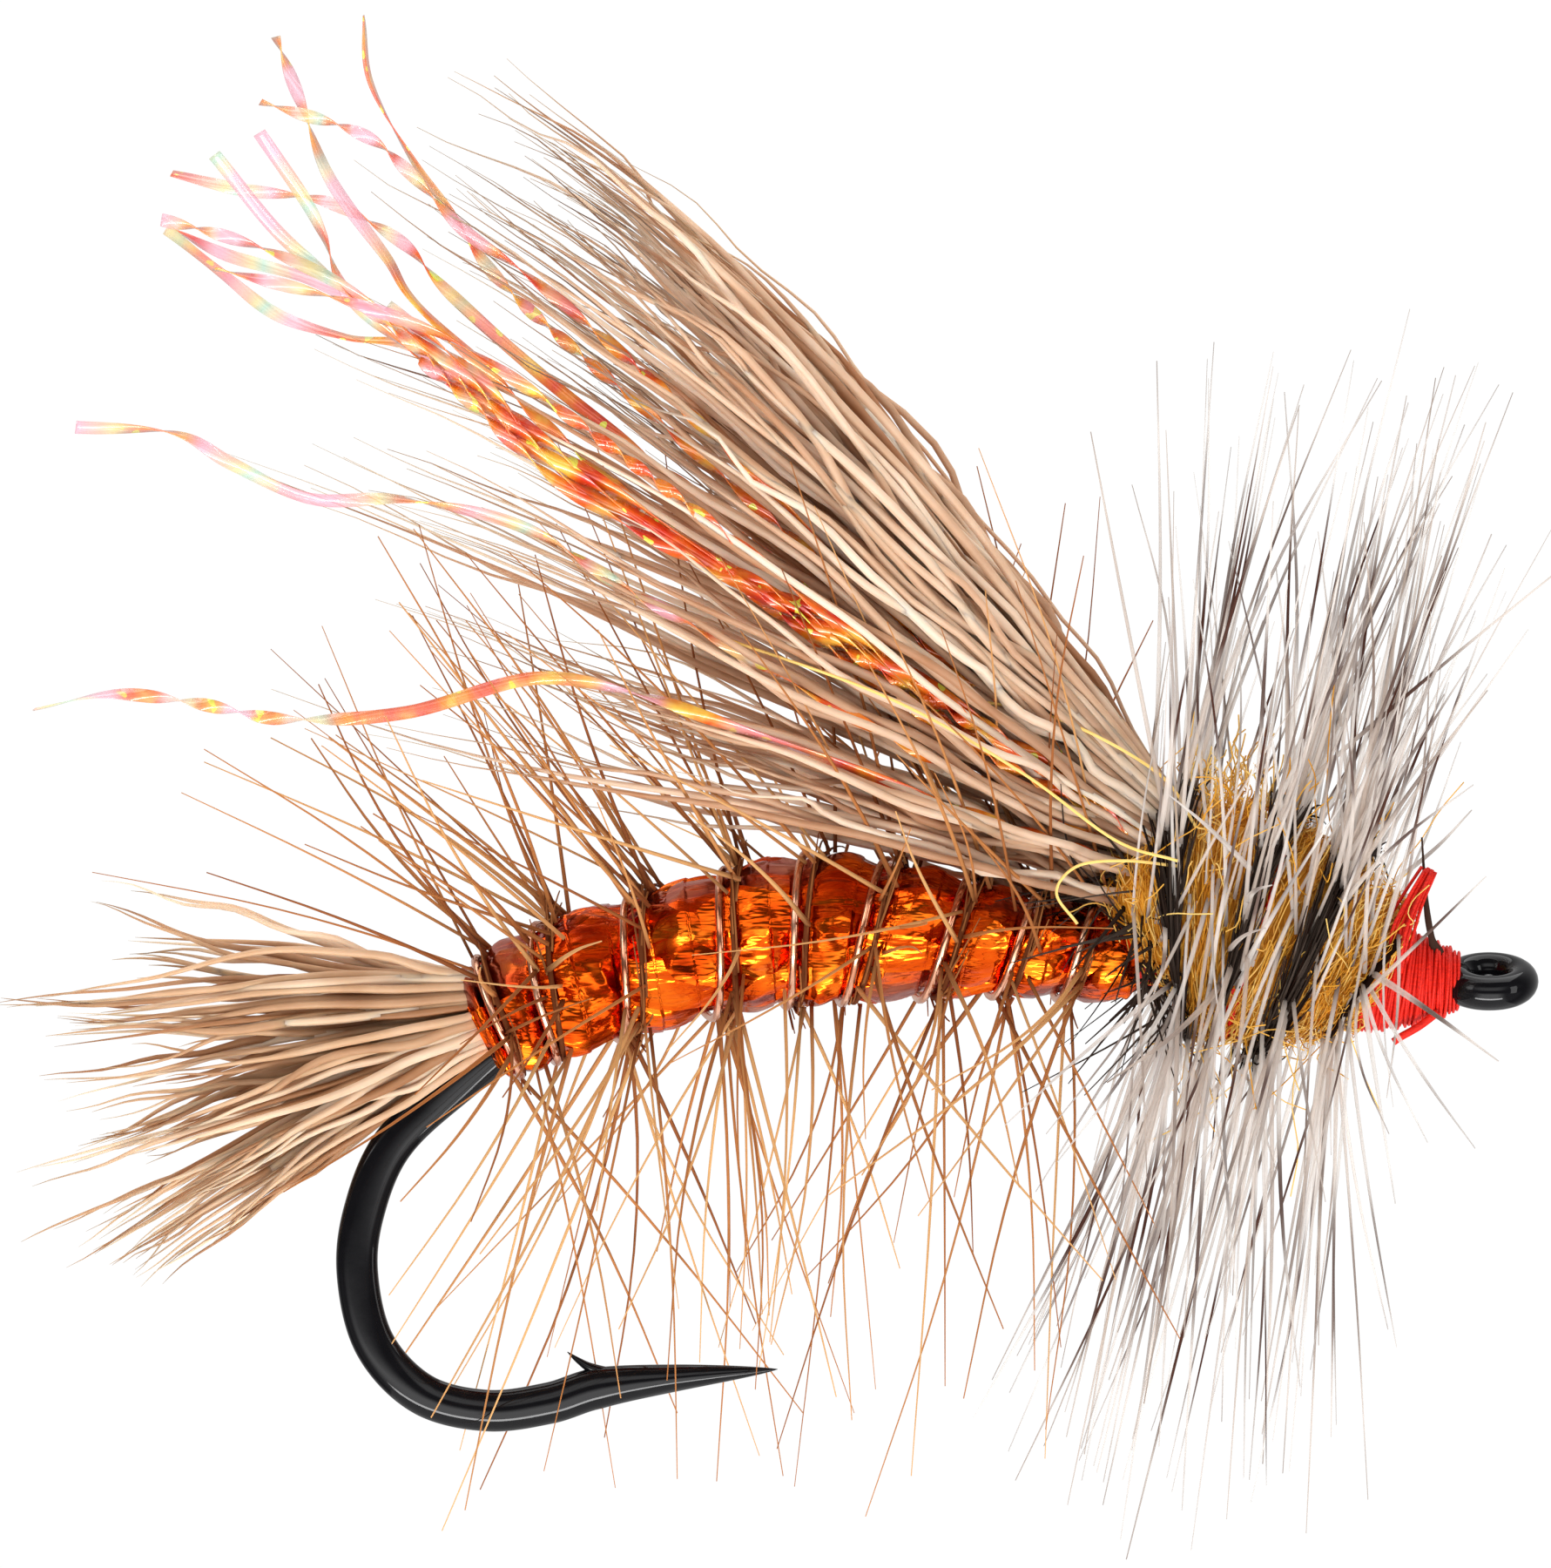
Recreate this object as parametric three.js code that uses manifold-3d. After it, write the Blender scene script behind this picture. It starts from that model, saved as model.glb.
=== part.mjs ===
// A dry fly: a long-shank hook dressed with hair, tinsel, wire, feather and thread.
// Millimetres, +Z up. The origin is the centre of the hook eye, +X points out through the eye,
// and the hook lies flat in the plane Y = 0.
import * as THREE from 'three';
import { mergeVertices } from 'three/addons/utils/BufferGeometryUtils.js';
import Module from 'manifold-3d';

const wasm = await Module();
wasm.setup();

// Driving dimensions
const wireRadius = 0.39;        // hook wire, as drawn
const forgedRadius = 0.405;     // the wire spreads a little where its sides are forged flat
const forgedHalfWidth = 0.28;   // centre plane to a forged flat
const eyeRadius = 0.62;         // eye ring, to the middle of its wire
const eyeWireRadius = 0.33;
const eyeRoll = THREE.MathUtils.degToRad(22);
const gap = 0.03;               // kept between pieces that touch on the real fly
const finestDetail = 0.012;     // facets flatter than this are merged
const threadThickness = 0.09;   // one layer of tying thread over the shank
const tinselThickness = 0.12;
const ribRadius = 0.07;
const quillRadius = 0.08;
const barbRadius = 0.05;
const windingLift = 0.1;        // room under a winding, which is straight between its corners
const flashHalfWidth = 0.13;
const flashHalfThickness = 0.035;
const roundSides = 12;          // facets round a layer or the hook wire
const goldenAngle = 2.4;        // radians: turns that scatter hairs evenly over a disc
const goldenShare = 0.618;      // shares that scatter lengths evenly

const across = new THREE.Vector3(0, 1, 0);
const degrees = THREE.MathUtils.degToRad;
const mix = THREE.MathUtils.lerp;
const fly = new THREE.Group();

// Solids

function solidOf(geometry) {
  const bare = geometry.clone();
  bare.deleteAttribute('normal');
  bare.deleteAttribute('uv');
  const welded = mergeVertices(bare);
  const vertProperties = new Float32Array(welded.attributes.position.array);
  const triVerts = new Uint32Array(welded.index.array);
  return new wasm.Manifold(new wasm.Mesh({ numProp: 3, vertProperties, triVerts }));
}

function geometryOf(solid) {
  const mesh = solid.getMesh();
  const geometry = new THREE.BufferGeometry();
  geometry.setAttribute('position', new THREE.BufferAttribute(mesh.vertProperties, 3));
  geometry.setIndex(new THREE.BufferAttribute(mesh.triVerts, 1));
  geometry.computeVertexNormals();
  return geometry;
}

function joined(solids) {
  return solids.reduce((whole, piece) => whole.add(piece));
}

// A cut can leave slivers thinner than a thread beside the piece: only the piece itself is kept.
function largestOf(solid) {
  return solid.decompose().reduce((most, piece) => (piece.volume() > most.volume() ? piece : most));
}

// Sweeps a section along a curve. offsetAt(t, angle) gives the section's edge there, first along
// the curve's binormal and then along its normal. A pointed sweep closes to a point at its end.
function sweep(curve, offsetAt, sides, steps, pointed = false) {
  const form = pointed
    ? new THREE.ConeGeometry(1, 1, sides, steps, false, Math.PI / sides)
    : new THREE.CylinderGeometry(1, 1, 1, sides, steps, false, Math.PI / sides);
  const frames = curve.computeFrenetFrames(steps);
  const place = form.attributes.position;
  for (let i = 0; i < place.count; i += 1) {
    const t = place.getY(i) + 0.5;
    const ring = Math.round(t * steps);
    const point = curve.getPointAt(t);
    if (Math.hypot(place.getX(i), place.getZ(i)) > 1e-6) {
      const [alongBinormal, alongNormal] = offsetAt(t, Math.atan2(place.getX(i), place.getZ(i)));
      point.addScaledVector(frames.binormals[ring], alongBinormal);
      point.addScaledVector(frames.normals[ring], alongNormal);
    }
    place.setXYZ(i, point.x, point.y, point.z);
  }
  return solidOf(form);
}

function tube(curve, radiusAt, sides, steps, pointed = false) {
  const offsetAt = (t, angle) => [radiusAt(t) * Math.sin(angle), radiusAt(t) * Math.cos(angle)];
  return sweep(curve, offsetAt, sides, steps, pointed);
}

// A hair or barb: a fine tube that tapers to nothing at its tip.
function strand(points, rootRadius, steps) {
  const curve = new THREE.CatmullRomCurve3(points);
  return tube(curve, (t) => rootRadius * (1 - 0.85 * t * t), 3, steps, true);
}

// A smooth curve in the plane of the hook, through [x, z] points.
function flatCurve(points) {
  return new THREE.CatmullRomCurve3(points.map(([x, z]) => new THREE.Vector3(x, 0, z)));
}

// The unit vector in the plane of the hook that stands square to a spine that runs forward.
function upFrom(spine, t) {
  return new THREE.Vector3().crossVectors(spine.getTangentAt(t), across);
}

// A layer around a spine. Each row of the profile holds x, z, half-height and half-width.
function layerOf(profile) {
  const spine = flatCurve(profile.map(([x, z]) => [x, z]));
  const rows = profile.length - 1;
  const sizeAt = (t, column) => {
    const u = spine.getUtoTmapping(t) * rows;
    const row = Math.min(Math.floor(u), rows - 1);
    return mix(profile[row][column], profile[row + 1][column], u - row);
  };
  return { spine, heightAt: (t) => sizeAt(t, 2), widthAt: (t) => sizeAt(t, 3) };
}

function layerSolid(layer, shrink, sides, steps) {
  const offsetAt = (t, angle) => [
    (layer.heightAt(t) - shrink) * Math.sin(angle),
    (layer.widthAt(t) - shrink) * Math.cos(angle),
  ];
  return sweep(layer.spine, offsetAt, sides, steps);
}

// The point on a layer at t along it and at an angle from straight up, lifted off its surface.
function onLayer(layer, t, angle, lift) {
  const point = layer.spine.getPointAt(t);
  point.addScaledVector(upFrom(layer.spine, t), (layer.heightAt(t) + lift) * Math.cos(angle));
  return point.addScaledVector(across, (layer.widthAt(t) + lift) * Math.sin(angle));
}

// A winding around a layer, from one place along it to another.
function winding(layer, from, to, turns, startAngle, lift) {
  const count = Math.round(turns * roundSides);
  const points = [];
  for (let i = 0; i <= count; i += 1) {
    const angle = startAngle + (2 * Math.PI * turns * i) / count;
    points.push(onLayer(layer, mix(from, to, i / count), angle, lift));
  }
  return new THREE.CatmullRomCurve3(points);
}

function add(name, solid, color, roughness, metalness = 0) {
  const material = new THREE.MeshStandardMaterial({ color, roughness, metalness });
  const piece = largestOf(solid.simplify(finestDetail));
  const mesh = new THREE.Mesh(geometryOf(piece), material);
  mesh.name = name;
  fly.add(mesh);
  return piece;
}

// Hook

const shankPoints = [
  [-0.7, 0], [-3.6, 0.12], [-7.1, 0.46], [-10.6, 0.58], [-13.6, 0.42], [-16.1, -0.05],
  [-18.1, -0.8], [-19.88, -2.07], [-21, -3.15],
];
const bendPoints = [
  [-21.53, -4.4], [-21.66, -5.6], [-21.33, -6.95], [-20.43, -7.9], [-19.2, -8.22],
  [-18, -8.08], [-17.05, -7.79], [-15.6, -7.6], [-13.62, -7.43],
];
const hookPath = flatCurve([...shankPoints, ...bendPoints]);
const shankPath = flatCurve([...shankPoints].reverse());
const forgedFrom = 0.56;        // where along the wire the flat sides begin
const forgedOver = 0.04;        // how long they take to reach their full width
const pointFrom = 0.9;          // where the wire begins to narrow to the point
const barbRootRadius = 0.15;
const eyeFacets = [9, 18];      // round the eye's wire, and round its ring

function hookSection(t, angle) {
  const forged = THREE.MathUtils.smoothstep(t, forgedFrom, forgedFrom + forgedOver);
  const narrowing = Math.min(1, (1 - t) / (1 - pointFrom));
  const radius = mix(wireRadius, forgedRadius, forged) * narrowing ** 0.8;
  const halfWidth = mix(wireRadius, forgedHalfWidth, forged);
  const sideways = THREE.MathUtils.clamp(radius * Math.cos(angle), -halfWidth, halfWidth);
  return [radius * Math.sin(angle), sideways];
}

function hookEye(allowance = 0) {
  const ring = new THREE.TorusGeometry(eyeRadius, eyeWireRadius + allowance, ...eyeFacets);
  ring.rotateX(eyeRoll);
  return solidOf(ring);
}

// The barb is a sliver of wire cut up from the inside of the point, facing back to the bend.
function hookBarb() {
  const points = [[-16.1, -7.55], [-16.9, -7.5], [-17.62, -7.12]];
  return tube(flatCurve(points), (t) => barbRootRadius * (1 - 0.5 * t), 4, 3, true);
}

const hook = add('hook', joined([
  sweep(hookPath, hookSection, roundSides, 44, true),
  hookEye(),
  hookBarb(),
]), '#16161a', 0.18, 0.85);

// Thread base: the first wraps, from the head to the bend

const baseRadius = wireRadius + gap + threadThickness;
const baseEnd = -17.9;
const baseStart = -1.9;

function shankTube(radius, steps) {
  return tube(shankPath, () => radius, roundSides, steps);
}

const clearOfBase = shankTube(baseRadius + gap, 16);

function cutBehind(solid, x) {
  return solid.trimByPlane([1, 0, 0], x);
}

function cutAhead(solid, x) {
  return solid.trimByPlane([-1, 0, 0], -x);
}

function threadBase() {
  const wraps = cutAhead(cutBehind(shankTube(baseRadius, 16), baseEnd), baseStart);
  return wraps.subtract(shankTube(wireRadius + gap, 20));
}

add('thread_base', threadBase(), '#c8281e', 0.7);

// Hair bunches. A hair stands at (side, up) on the round section of its bunch. Hairs keep their
// order as the bunch flares, so they never cross. The hairs of one lock share one bound butt.

function hairPath(bunch, side, up, spread, reach) {
  const axis = new THREE.Vector3(-Math.cos(bunch.rise), 0, Math.sin(bunch.rise));
  const over = new THREE.Vector3(Math.sin(bunch.rise), 0, Math.cos(bunch.rise));
  const root = bunch.root.clone();
  root.addScaledVector(across, side * bunch.radius);
  root.addScaledVector(over, up * bunch.radius);
  const rise = bunch.rise + bunch.fan * spread.up;
  const swing = bunch.swing * spread.side;
  const aim = new THREE.Vector3(-Math.cos(rise), 0, Math.sin(rise)).multiplyScalar(Math.cos(swing));
  aim.y = Math.sin(swing);
  const waist = root.clone().addScaledVector(axis, 0.1 * bunch.length);
  waist.addScaledVector(aim, 0.12 * bunch.length);
  const tip = root.clone().addScaledVector(aim, reach * bunch.length);
  const belly = waist.clone().lerp(tip, 0.45);
  belly.z += bunch.arch * bunch.length * (0.6 - spread.up);
  return [root, waist, belly, tip];
}

function buttPath(bunch, side, up) {
  const front = bunch.buttEnd.clone();
  front.addScaledVector(across, side * bunch.radius * bunch.squeeze);
  front.z += up * bunch.radius * bunch.squeeze;
  const [root, waist] = hairPath(bunch, side, up, { side, up }, 1);
  const back = root.clone().lerp(waist, 0.12);
  return new THREE.CatmullRomCurve3([back, root.clone().lerp(front, 0.35), front]);
}

function lockPlaces(ringCount, ringReach) {
  const places = [{ side: 0, up: 0 }];
  for (let i = 0; i < ringCount; i += 1) {
    const angle = (2 * Math.PI * i) / ringCount;
    places.push({ side: ringReach * Math.sin(angle), up: ringReach * Math.cos(angle) });
  }
  return places;
}

const hairReach = 0.72;         // how far out in its lock a hair leaves the butt
const shortestHair = 0.84;      // against the longest

function hairLock(bunch, place, seed) {
  const butt = buttPath(bunch, place.side, place.up);
  const taper = (t) => bunch.lockRadius * mix(1, bunch.squeeze, t);
  const pieces = [tube(butt, taper, 6, 3)];
  for (let i = 0; i < bunch.hairs; i += 1) {
    const reach = (hairReach * bunch.lockRadius * Math.sqrt((i + 0.5) / bunch.hairs)) / bunch.radius;
    const angle = goldenAngle * i + seed;
    const side = reach * Math.sin(angle);
    const up = reach * Math.cos(angle);
    const spread = { side: place.side + bunch.flare * side, up: place.up + bunch.flare * up };
    const length = mix(shortestHair, 1, (goldenShare * (i + seed)) % 1);
    const points = hairPath(bunch, place.side + side, place.up + up, spread, length);
    pieces.push(strand(points, bunch.hairRadius, 4));
  }
  return joined(pieces);
}

// Tail

const tail = {
  root: new THREE.Vector3(-19.5, 0, -0.65),
  rise: degrees(-19),
  radius: 0.64,
  lockRadius: 0.19,
  hairRadius: 0.09,
  fan: degrees(29),
  swing: degrees(26),
  arch: -0.01,
  flare: 1.5,
  length: 9.2,
  hairs: 6,
  squeeze: 0.9,
  buttEnd: new THREE.Vector3(-18.2, 0, 0.02),
};
const tailPlaces = lockPlaces(5, 0.68);
const tailLocks = tailPlaces.map((place, i) => (
  add(`tail_hair_${i + 1}`, hairLock(tail, place, i), '#cdaa87', 0.6)
));

// Body: underbody, tail binding and tinsel skin, each around the one inside it

const body = layerOf([
  [-19.2, -0.85, 1.12, 1.12],
  [-17.97, -0.23, 1.25, 1.22],
  [-16.3, 0.3, 1.26, 1.24],
  [-14.5, 0.75, 1.32, 1.3],
  [-13.1, 0.98, 1.4, 1.36],
  [-11.9, 0.97, 1.34, 1.3],
  [-10.25, 0.85, 1.14, 1.12],
  [-9, 0.68, 0.92, 0.92],
  [-7.3, 0.5, 0.74, 0.74],
]);

const bindingEnd = -17.4;
const underbodyEnd = -9.2;

// The room that a bunch's bound butts take up.
function clearOfButts(bunch, places) {
  return joined(places.map((place) => (
    tube(buttPath(bunch, place.side, place.up), () => bunch.lockRadius + gap, 6, 3)
  )));
}

const core = layerSolid(body, tinselThickness + gap, roundSides, 12).subtract(clearOfBase);
const binding = cutAhead(core, bindingEnd).subtract(clearOfButts(tail, tailPlaces));
const underbody = cutAhead(cutBehind(core, bindingEnd + gap), underbodyEnd);
add('tail_binding', binding, '#c8281e', 0.7);
add('underbody', underbody, '#c9501c', 0.8);

function tinselSkin() {
  const hollow = layerSolid(body, tinselThickness, roundSides, 12);
  const backEnd = layerOf([
    [-19.9, -1.25, 0.99, 0.99], [-19.2, -0.85, 0.99, 0.99], [-18.6, -0.5, 0.99, 0.99],
  ]);
  const frontEnd = layerOf([[-8, 0.56, 0.6, 0.6], [-7.3, 0.5, 0.6, 0.6], [-6.6, 0.44, 0.6, 0.6]]);
  const openEnds = [backEnd, frontEnd].map((end) => layerSolid(end, 0, roundSides, 2));
  return layerSolid(body, 0, roundSides, 12).subtract(joined([hollow, ...openEnds]));
}

const tinsel = add('body_tinsel', tinselSkin(), '#d9501a', 0.25, 0.7);

const ribTurns = 8.5;
const ribPath = winding(body, 0.015, 0.97, ribTurns, degrees(200), ribRadius + windingLift);
const ribSteps = Math.round(9 * ribTurns);
const rib = add('rib_wire', tube(ribPath, () => ribRadius, 4, ribSteps), '#c07a55', 0.3, 0.9);

// Wing

const wing = {
  root: new THREE.Vector3(-6.1, 0, 2.12),
  rise: degrees(27),
  radius: 1.06,
  lockRadius: 0.33,
  hairRadius: 0.1,
  fan: degrees(26),
  swing: degrees(26),
  arch: 0.022,
  flare: 1.5,
  length: 22.4,
  hairs: 8,
  squeeze: 0.62,
  buttEnd: new THREE.Vector3(-3.2, 0, 1.35),
};
const wingRingReach = 0.68;
const wingPlaces = lockPlaces(6, wingRingReach);
const wingLocks = wingPlaces.map((place, i) => (
  add(`wing_hair_${i + 1}`, hairLock(wing, place, i), '#c9aa8b', 0.6)
));

// Flash: a twisted ribbon lies in each furrow between two locks of the wing

const flashTwist = 3 * Math.PI;

function flashStrand(side, up, twistStart) {
  const points = hairPath(wing, side, up, { side, up }, 1);
  const curve = new THREE.CatmullRomCurve3(points);
  const swell = (t) => mix(0.35, 1, THREE.MathUtils.smoothstep(t, 0, 0.3));
  const offsetAt = (t, angle) => {
    const wide = flashHalfWidth * swell(t) * Math.sin(angle) * Math.SQRT2;
    const thick = flashHalfThickness * Math.cos(angle) * Math.SQRT2;
    const turn = twistStart + flashTwist * t;
    return [
      wide * Math.cos(turn) - thick * Math.sin(turn),
      wide * Math.sin(turn) + thick * Math.cos(turn),
    ];
  };
  return sweep(curve, offsetAt, 4, 10);
}

const flashFurrows = [wingRingReach / Math.sqrt(3), wingRingReach * 1.22];
const flashes = [];
flashFurrows.forEach((reach) => {
  for (let i = 0; i < 6; i += 1) {
    const angle = degrees(30 + 60 * i);     // halfway between two locks of the ring
    const ribbon = flashStrand(reach * Math.sin(angle), reach * Math.cos(angle), i);
    flashes.push(add(`flash_strand_${flashes.length + 1}`, ribbon, '#f08a5a', 0.25));
  }
});

// Thorax: dubbing around the wing butts, which are bound to the shank

const thorax = layerOf([
  [-6.25, 1.4, 2.25, 1.75],
  [-5.6, 1.3, 2.35, 1.9],
  [-4.6, 1.15, 2.3, 1.9],
  [-3.4, 1, 2.1, 1.75],
  [-2.3, 0.65, 1.65, 1.45],
  [-1.8, 0.35, 1.15, 1.1],
]);

function thoraxDubbing() {
  const hollow = layerOf([
    [-7, 1.4, 1.95, 1.45],
    [-6.25, 1.4, 1.95, 1.45],
    [-5.6, 1.3, 1.95, 1.5],
    [-4.6, 1.15, 1.9, 1.5],
    [-3.4, 1, 1.7, 1.35],
    [-2.3, 0.65, 1.2, 1],
    [-1.8, 0.35, 0.8, 0.75],
    [-1, 0.2, 0.7, 0.65],
  ]);
  return layerSolid(thorax, 0, 14, 8).subtract(layerSolid(hollow, 0, 14, 9)).subtract(clearOfBase);
}

function wingBinding() {
  const wraps = layerOf([
    [-5.85, 1.4, 1.6, 1.2], [-5.4, 1.33, 1.78, 1.3], [-4.9, 1.2, 1.7, 1.25], [-4.3, 1.1, 1.45, 1.1],
  ]);
  const solid = layerSolid(wraps, 0, roundSides, 3);
  return solid.subtract(clearOfButts(wing, wingPlaces)).subtract(clearOfBase);
}

const bound = add('wing_binding', wingBinding(), '#c8281e', 0.7);
const dubbing = add('thorax_dubbing', thoraxDubbing(), '#d2962c', 0.95);

// Head

const headProfile = layerOf([
  [-1.66, 0.02, 0.72, 0.74], [-1.2, 0, 0.68, 0.76], [-0.55, 0, 0.52, 0.74],
]);

function headThread() {
  const solid = layerSolid(headProfile, 0, roundSides, 4);
  return solid.subtract(shankTube(wireRadius + gap, 16)).subtract(hookEye(gap));
}

const head = add('head_thread', headThread(), '#dc1e18', 0.6);

function looseEnd(points, radius, pointed) {
  const curve = new THREE.CatmullRomCurve3(points.map(([x, y, z]) => new THREE.Vector3(x, y, z)));
  return tube(curve, (t) => radius * (1 - 0.3 * t), 5, 5, pointed);
}

const tag = add('thread_tag', looseEnd(
  [[-1.25, -0.3, -0.8], [-1.5, -0.38, -0.9], [-1.85, -0.45, -1.1]], 0.07, false,
), '#dc1e18', 0.6);
const tuft = add('thread_tuft', looseEnd(
  [[-1.1, -0.15, 0.84], [-1.08, -0.2, 1.3], [-1, -0.25, 2]], 0.12, true,
), '#e0321e', 0.65);
const stub = add('hackle_stem_stub', looseEnd(
  [[-1.05, -0.45, 0.72], [-1.1, -0.5, 1.6], [-1.28, -0.5, 2.75]], 0.09, false,
), '#3a2a22', 0.5);

// Hackles: a feather's stem is wound round a layer and its barbs stand out from the stem. Each
// barb turns a little, as a real one does, until it lies clear of what is already on the fly.

function barbFrom(layer, root, place) {
  const { t, angle, lean, length } = place;
  const back = layer.spine.getTangentAt(t).negate();
  const out = upFrom(layer.spine, t).multiplyScalar(Math.cos(angle));
  out.addScaledVector(across, Math.sin(angle));
  const aim = out.multiplyScalar(Math.cos(lean)).addScaledVector(back, Math.sin(lean));
  const middle = root.clone().addScaledVector(aim, 0.5 * length).addScaledVector(back, 0.02 * length);
  const tip = root.clone().addScaledVector(aim, length).addScaledVector(back, 0.07 * length);
  return strand([root, middle, tip], barbRadius, 2);
}

const barbAttempts = 11;
const barbNudge = degrees(5);

function clearBarb(layer, root, place, obstacles) {
  for (let attempt = 0; attempt < barbAttempts; attempt += 1) {
    const nudge = barbNudge * Math.ceil(attempt / 2) * (attempt % 2 ? 1 : -1);
    const barb = barbFrom(layer, root, { ...place, lean: place.lean + nudge });
    if (barb.intersect(obstacles).volume() < 1e-6) {
      return barb;
    }
  }
  return null;
}

const barbWander = degrees(9);
const shortestBarb = 0.8;       // against the longest

function hackle(layer, feather, obstacles) {
  const { from, to, turns, startAngle, perTurn } = feather;
  const stem = winding(layer, from, to, turns, startAngle, quillRadius + windingLift);
  const rings = Math.round(perTurn * turns);
  const pieces = [tube(stem, () => quillRadius, 3, rings)];
  for (let i = 1; i < rings; i += 1) {
    const along = stem.getUtoTmapping(i / rings);
    const angle = startAngle + 2 * Math.PI * turns * along;
    const wander = barbWander * Math.sin(goldenAngle * i);
    const place = {
      t: mix(from, to, along),
      angle,
      lean: feather.lean + feather.leanOnTop * Math.max(0, Math.cos(angle)) + wander,
      length: feather.length * mix(shortestBarb, 1, (goldenShare * i) % 1),
    };
    const barb = clearBarb(layer, stem.getPointAt(i / rings), place, obstacles);
    if (barb) {
      pieces.push(barb);
    }
  }
  return joined(pieces);
}

// The hook's gape stays open between the body and the point.
const gape = new THREE.BoxGeometry(4.5, 4.5, 4.5);
gape.translate(-17.75, 0, -4.75);

const dressing = joined([
  hook, binding, tinsel, rib, bound, dubbing, head, tag, tuft, stub,
  ...tailLocks, ...wingLocks, ...flashes,
]);
const bodyFeather = {
  from: 0.05, to: 0.95, turns: 8, startAngle: degrees(20), perTurn: 8, lean: degrees(4),
  leanOnTop: degrees(24), length: 9,
};
const bodyHackle = hackle(body, bodyFeather, dressing.add(solidOf(gape)));
add('body_hackle', bodyHackle, '#9a6232', 0.55);

const frontFeather = {
  from: 0.04, to: 0.94, turns: 4.5, startAngle: degrees(150), perTurn: 11, lean: degrees(-2),
  leanOnTop: degrees(4), length: 9.8,
};
add('front_hackle', hackle(thorax, frontFeather, dressing.add(bodyHackle)), '#8f8a86', 0.5);

export default fly;
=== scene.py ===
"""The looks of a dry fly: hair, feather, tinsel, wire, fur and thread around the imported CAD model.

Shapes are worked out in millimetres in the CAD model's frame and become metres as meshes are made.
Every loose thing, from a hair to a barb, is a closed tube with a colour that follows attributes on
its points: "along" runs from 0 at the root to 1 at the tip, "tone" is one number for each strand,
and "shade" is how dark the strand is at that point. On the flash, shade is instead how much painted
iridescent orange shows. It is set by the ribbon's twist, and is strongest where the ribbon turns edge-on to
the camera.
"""
import bpy
import math
import numpy as np
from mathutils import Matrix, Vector, noise


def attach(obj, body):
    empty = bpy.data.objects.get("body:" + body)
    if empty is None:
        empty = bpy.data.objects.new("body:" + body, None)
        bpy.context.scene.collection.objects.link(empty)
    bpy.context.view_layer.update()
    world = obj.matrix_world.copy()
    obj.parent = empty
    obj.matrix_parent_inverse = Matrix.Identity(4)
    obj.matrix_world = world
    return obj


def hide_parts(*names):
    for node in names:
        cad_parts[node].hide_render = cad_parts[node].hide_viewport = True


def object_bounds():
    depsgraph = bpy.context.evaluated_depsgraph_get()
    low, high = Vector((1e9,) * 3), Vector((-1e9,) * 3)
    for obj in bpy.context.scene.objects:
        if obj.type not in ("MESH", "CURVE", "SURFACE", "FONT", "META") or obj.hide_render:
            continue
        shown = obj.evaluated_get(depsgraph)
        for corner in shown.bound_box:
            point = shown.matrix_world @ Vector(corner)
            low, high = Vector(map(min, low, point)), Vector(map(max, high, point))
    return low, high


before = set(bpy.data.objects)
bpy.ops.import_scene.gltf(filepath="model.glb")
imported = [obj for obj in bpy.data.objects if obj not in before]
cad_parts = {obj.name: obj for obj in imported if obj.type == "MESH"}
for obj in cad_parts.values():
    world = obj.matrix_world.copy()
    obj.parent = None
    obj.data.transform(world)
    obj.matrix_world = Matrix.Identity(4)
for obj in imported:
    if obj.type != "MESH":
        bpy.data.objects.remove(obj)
cad_low, cad_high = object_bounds()

MM = 0.001
TURN = 2 * math.pi
UP = np.array([0.0, 0.0, 1.0])
ACROSS = np.array([0.0, 1.0, 0.0])
FORWARD = np.array([1.0, 0.0, 0.0])


# ---- curves and surfaces

def unit(vectors):
    """The same directions at length 1."""
    return vectors / np.maximum(np.linalg.norm(vectors, axis=-1, keepdims=True), 1e-12)


def smooth(low, high, value):
    """A soft step from 0 at low to 1 at high."""
    x = np.clip((value - low) / (high - low), 0, 1)
    return x * x * (3 - 2 * x)


def shares(count):
    """A row of count numbers from 0 to 1."""
    return np.linspace(0, 1, count)[None]


def circle(count):
    """Angles of count places round a circle."""
    return np.arange(count) * TURN / count


def spline(points, count):
    """Smooth curves through (n, p, d) points, each sampled at count places."""
    before = 2 * points[:, :1] - points[:, 1:2]
    after = 2 * points[:, -1:] - points[:, -2:-1]
    p = np.concatenate([before, points, after], axis=1)
    place = np.linspace(0, points.shape[1] - 1, count)
    i = np.minimum(place.astype(int), points.shape[1] - 2)
    f = (place - i)[None, :, None]
    a, b, c, d = p[:, i], p[:, i + 1], p[:, i + 2], p[:, i + 3]
    bend = (2 * a - 5 * b + 4 * c - d) * f ** 2 + (3 * b - a - 3 * c + d) * f ** 3
    return 0.5 * (2 * b + (c - a) * f + bend)


def flat_path(points, count, y=0):
    """One smooth curve through [x, z] points in the plane of the hook, or beside it at y."""
    rows = np.array([[x, y, z] for x, z in points])
    return spline(rows[None], count)[0]


def travelled(path):
    """How far along a path each of its points is."""
    step = np.linalg.norm(np.diff(path, axis=0), axis=1)
    return np.concatenate([[0], np.cumsum(step)])


def evenly(path, count):
    """The same path with its points at equal distances."""
    at = travelled(path)
    wanted = np.linspace(0, at[-1], count)
    return np.stack([np.interp(wanted, at, column) for column in path.T], axis=1)


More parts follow.
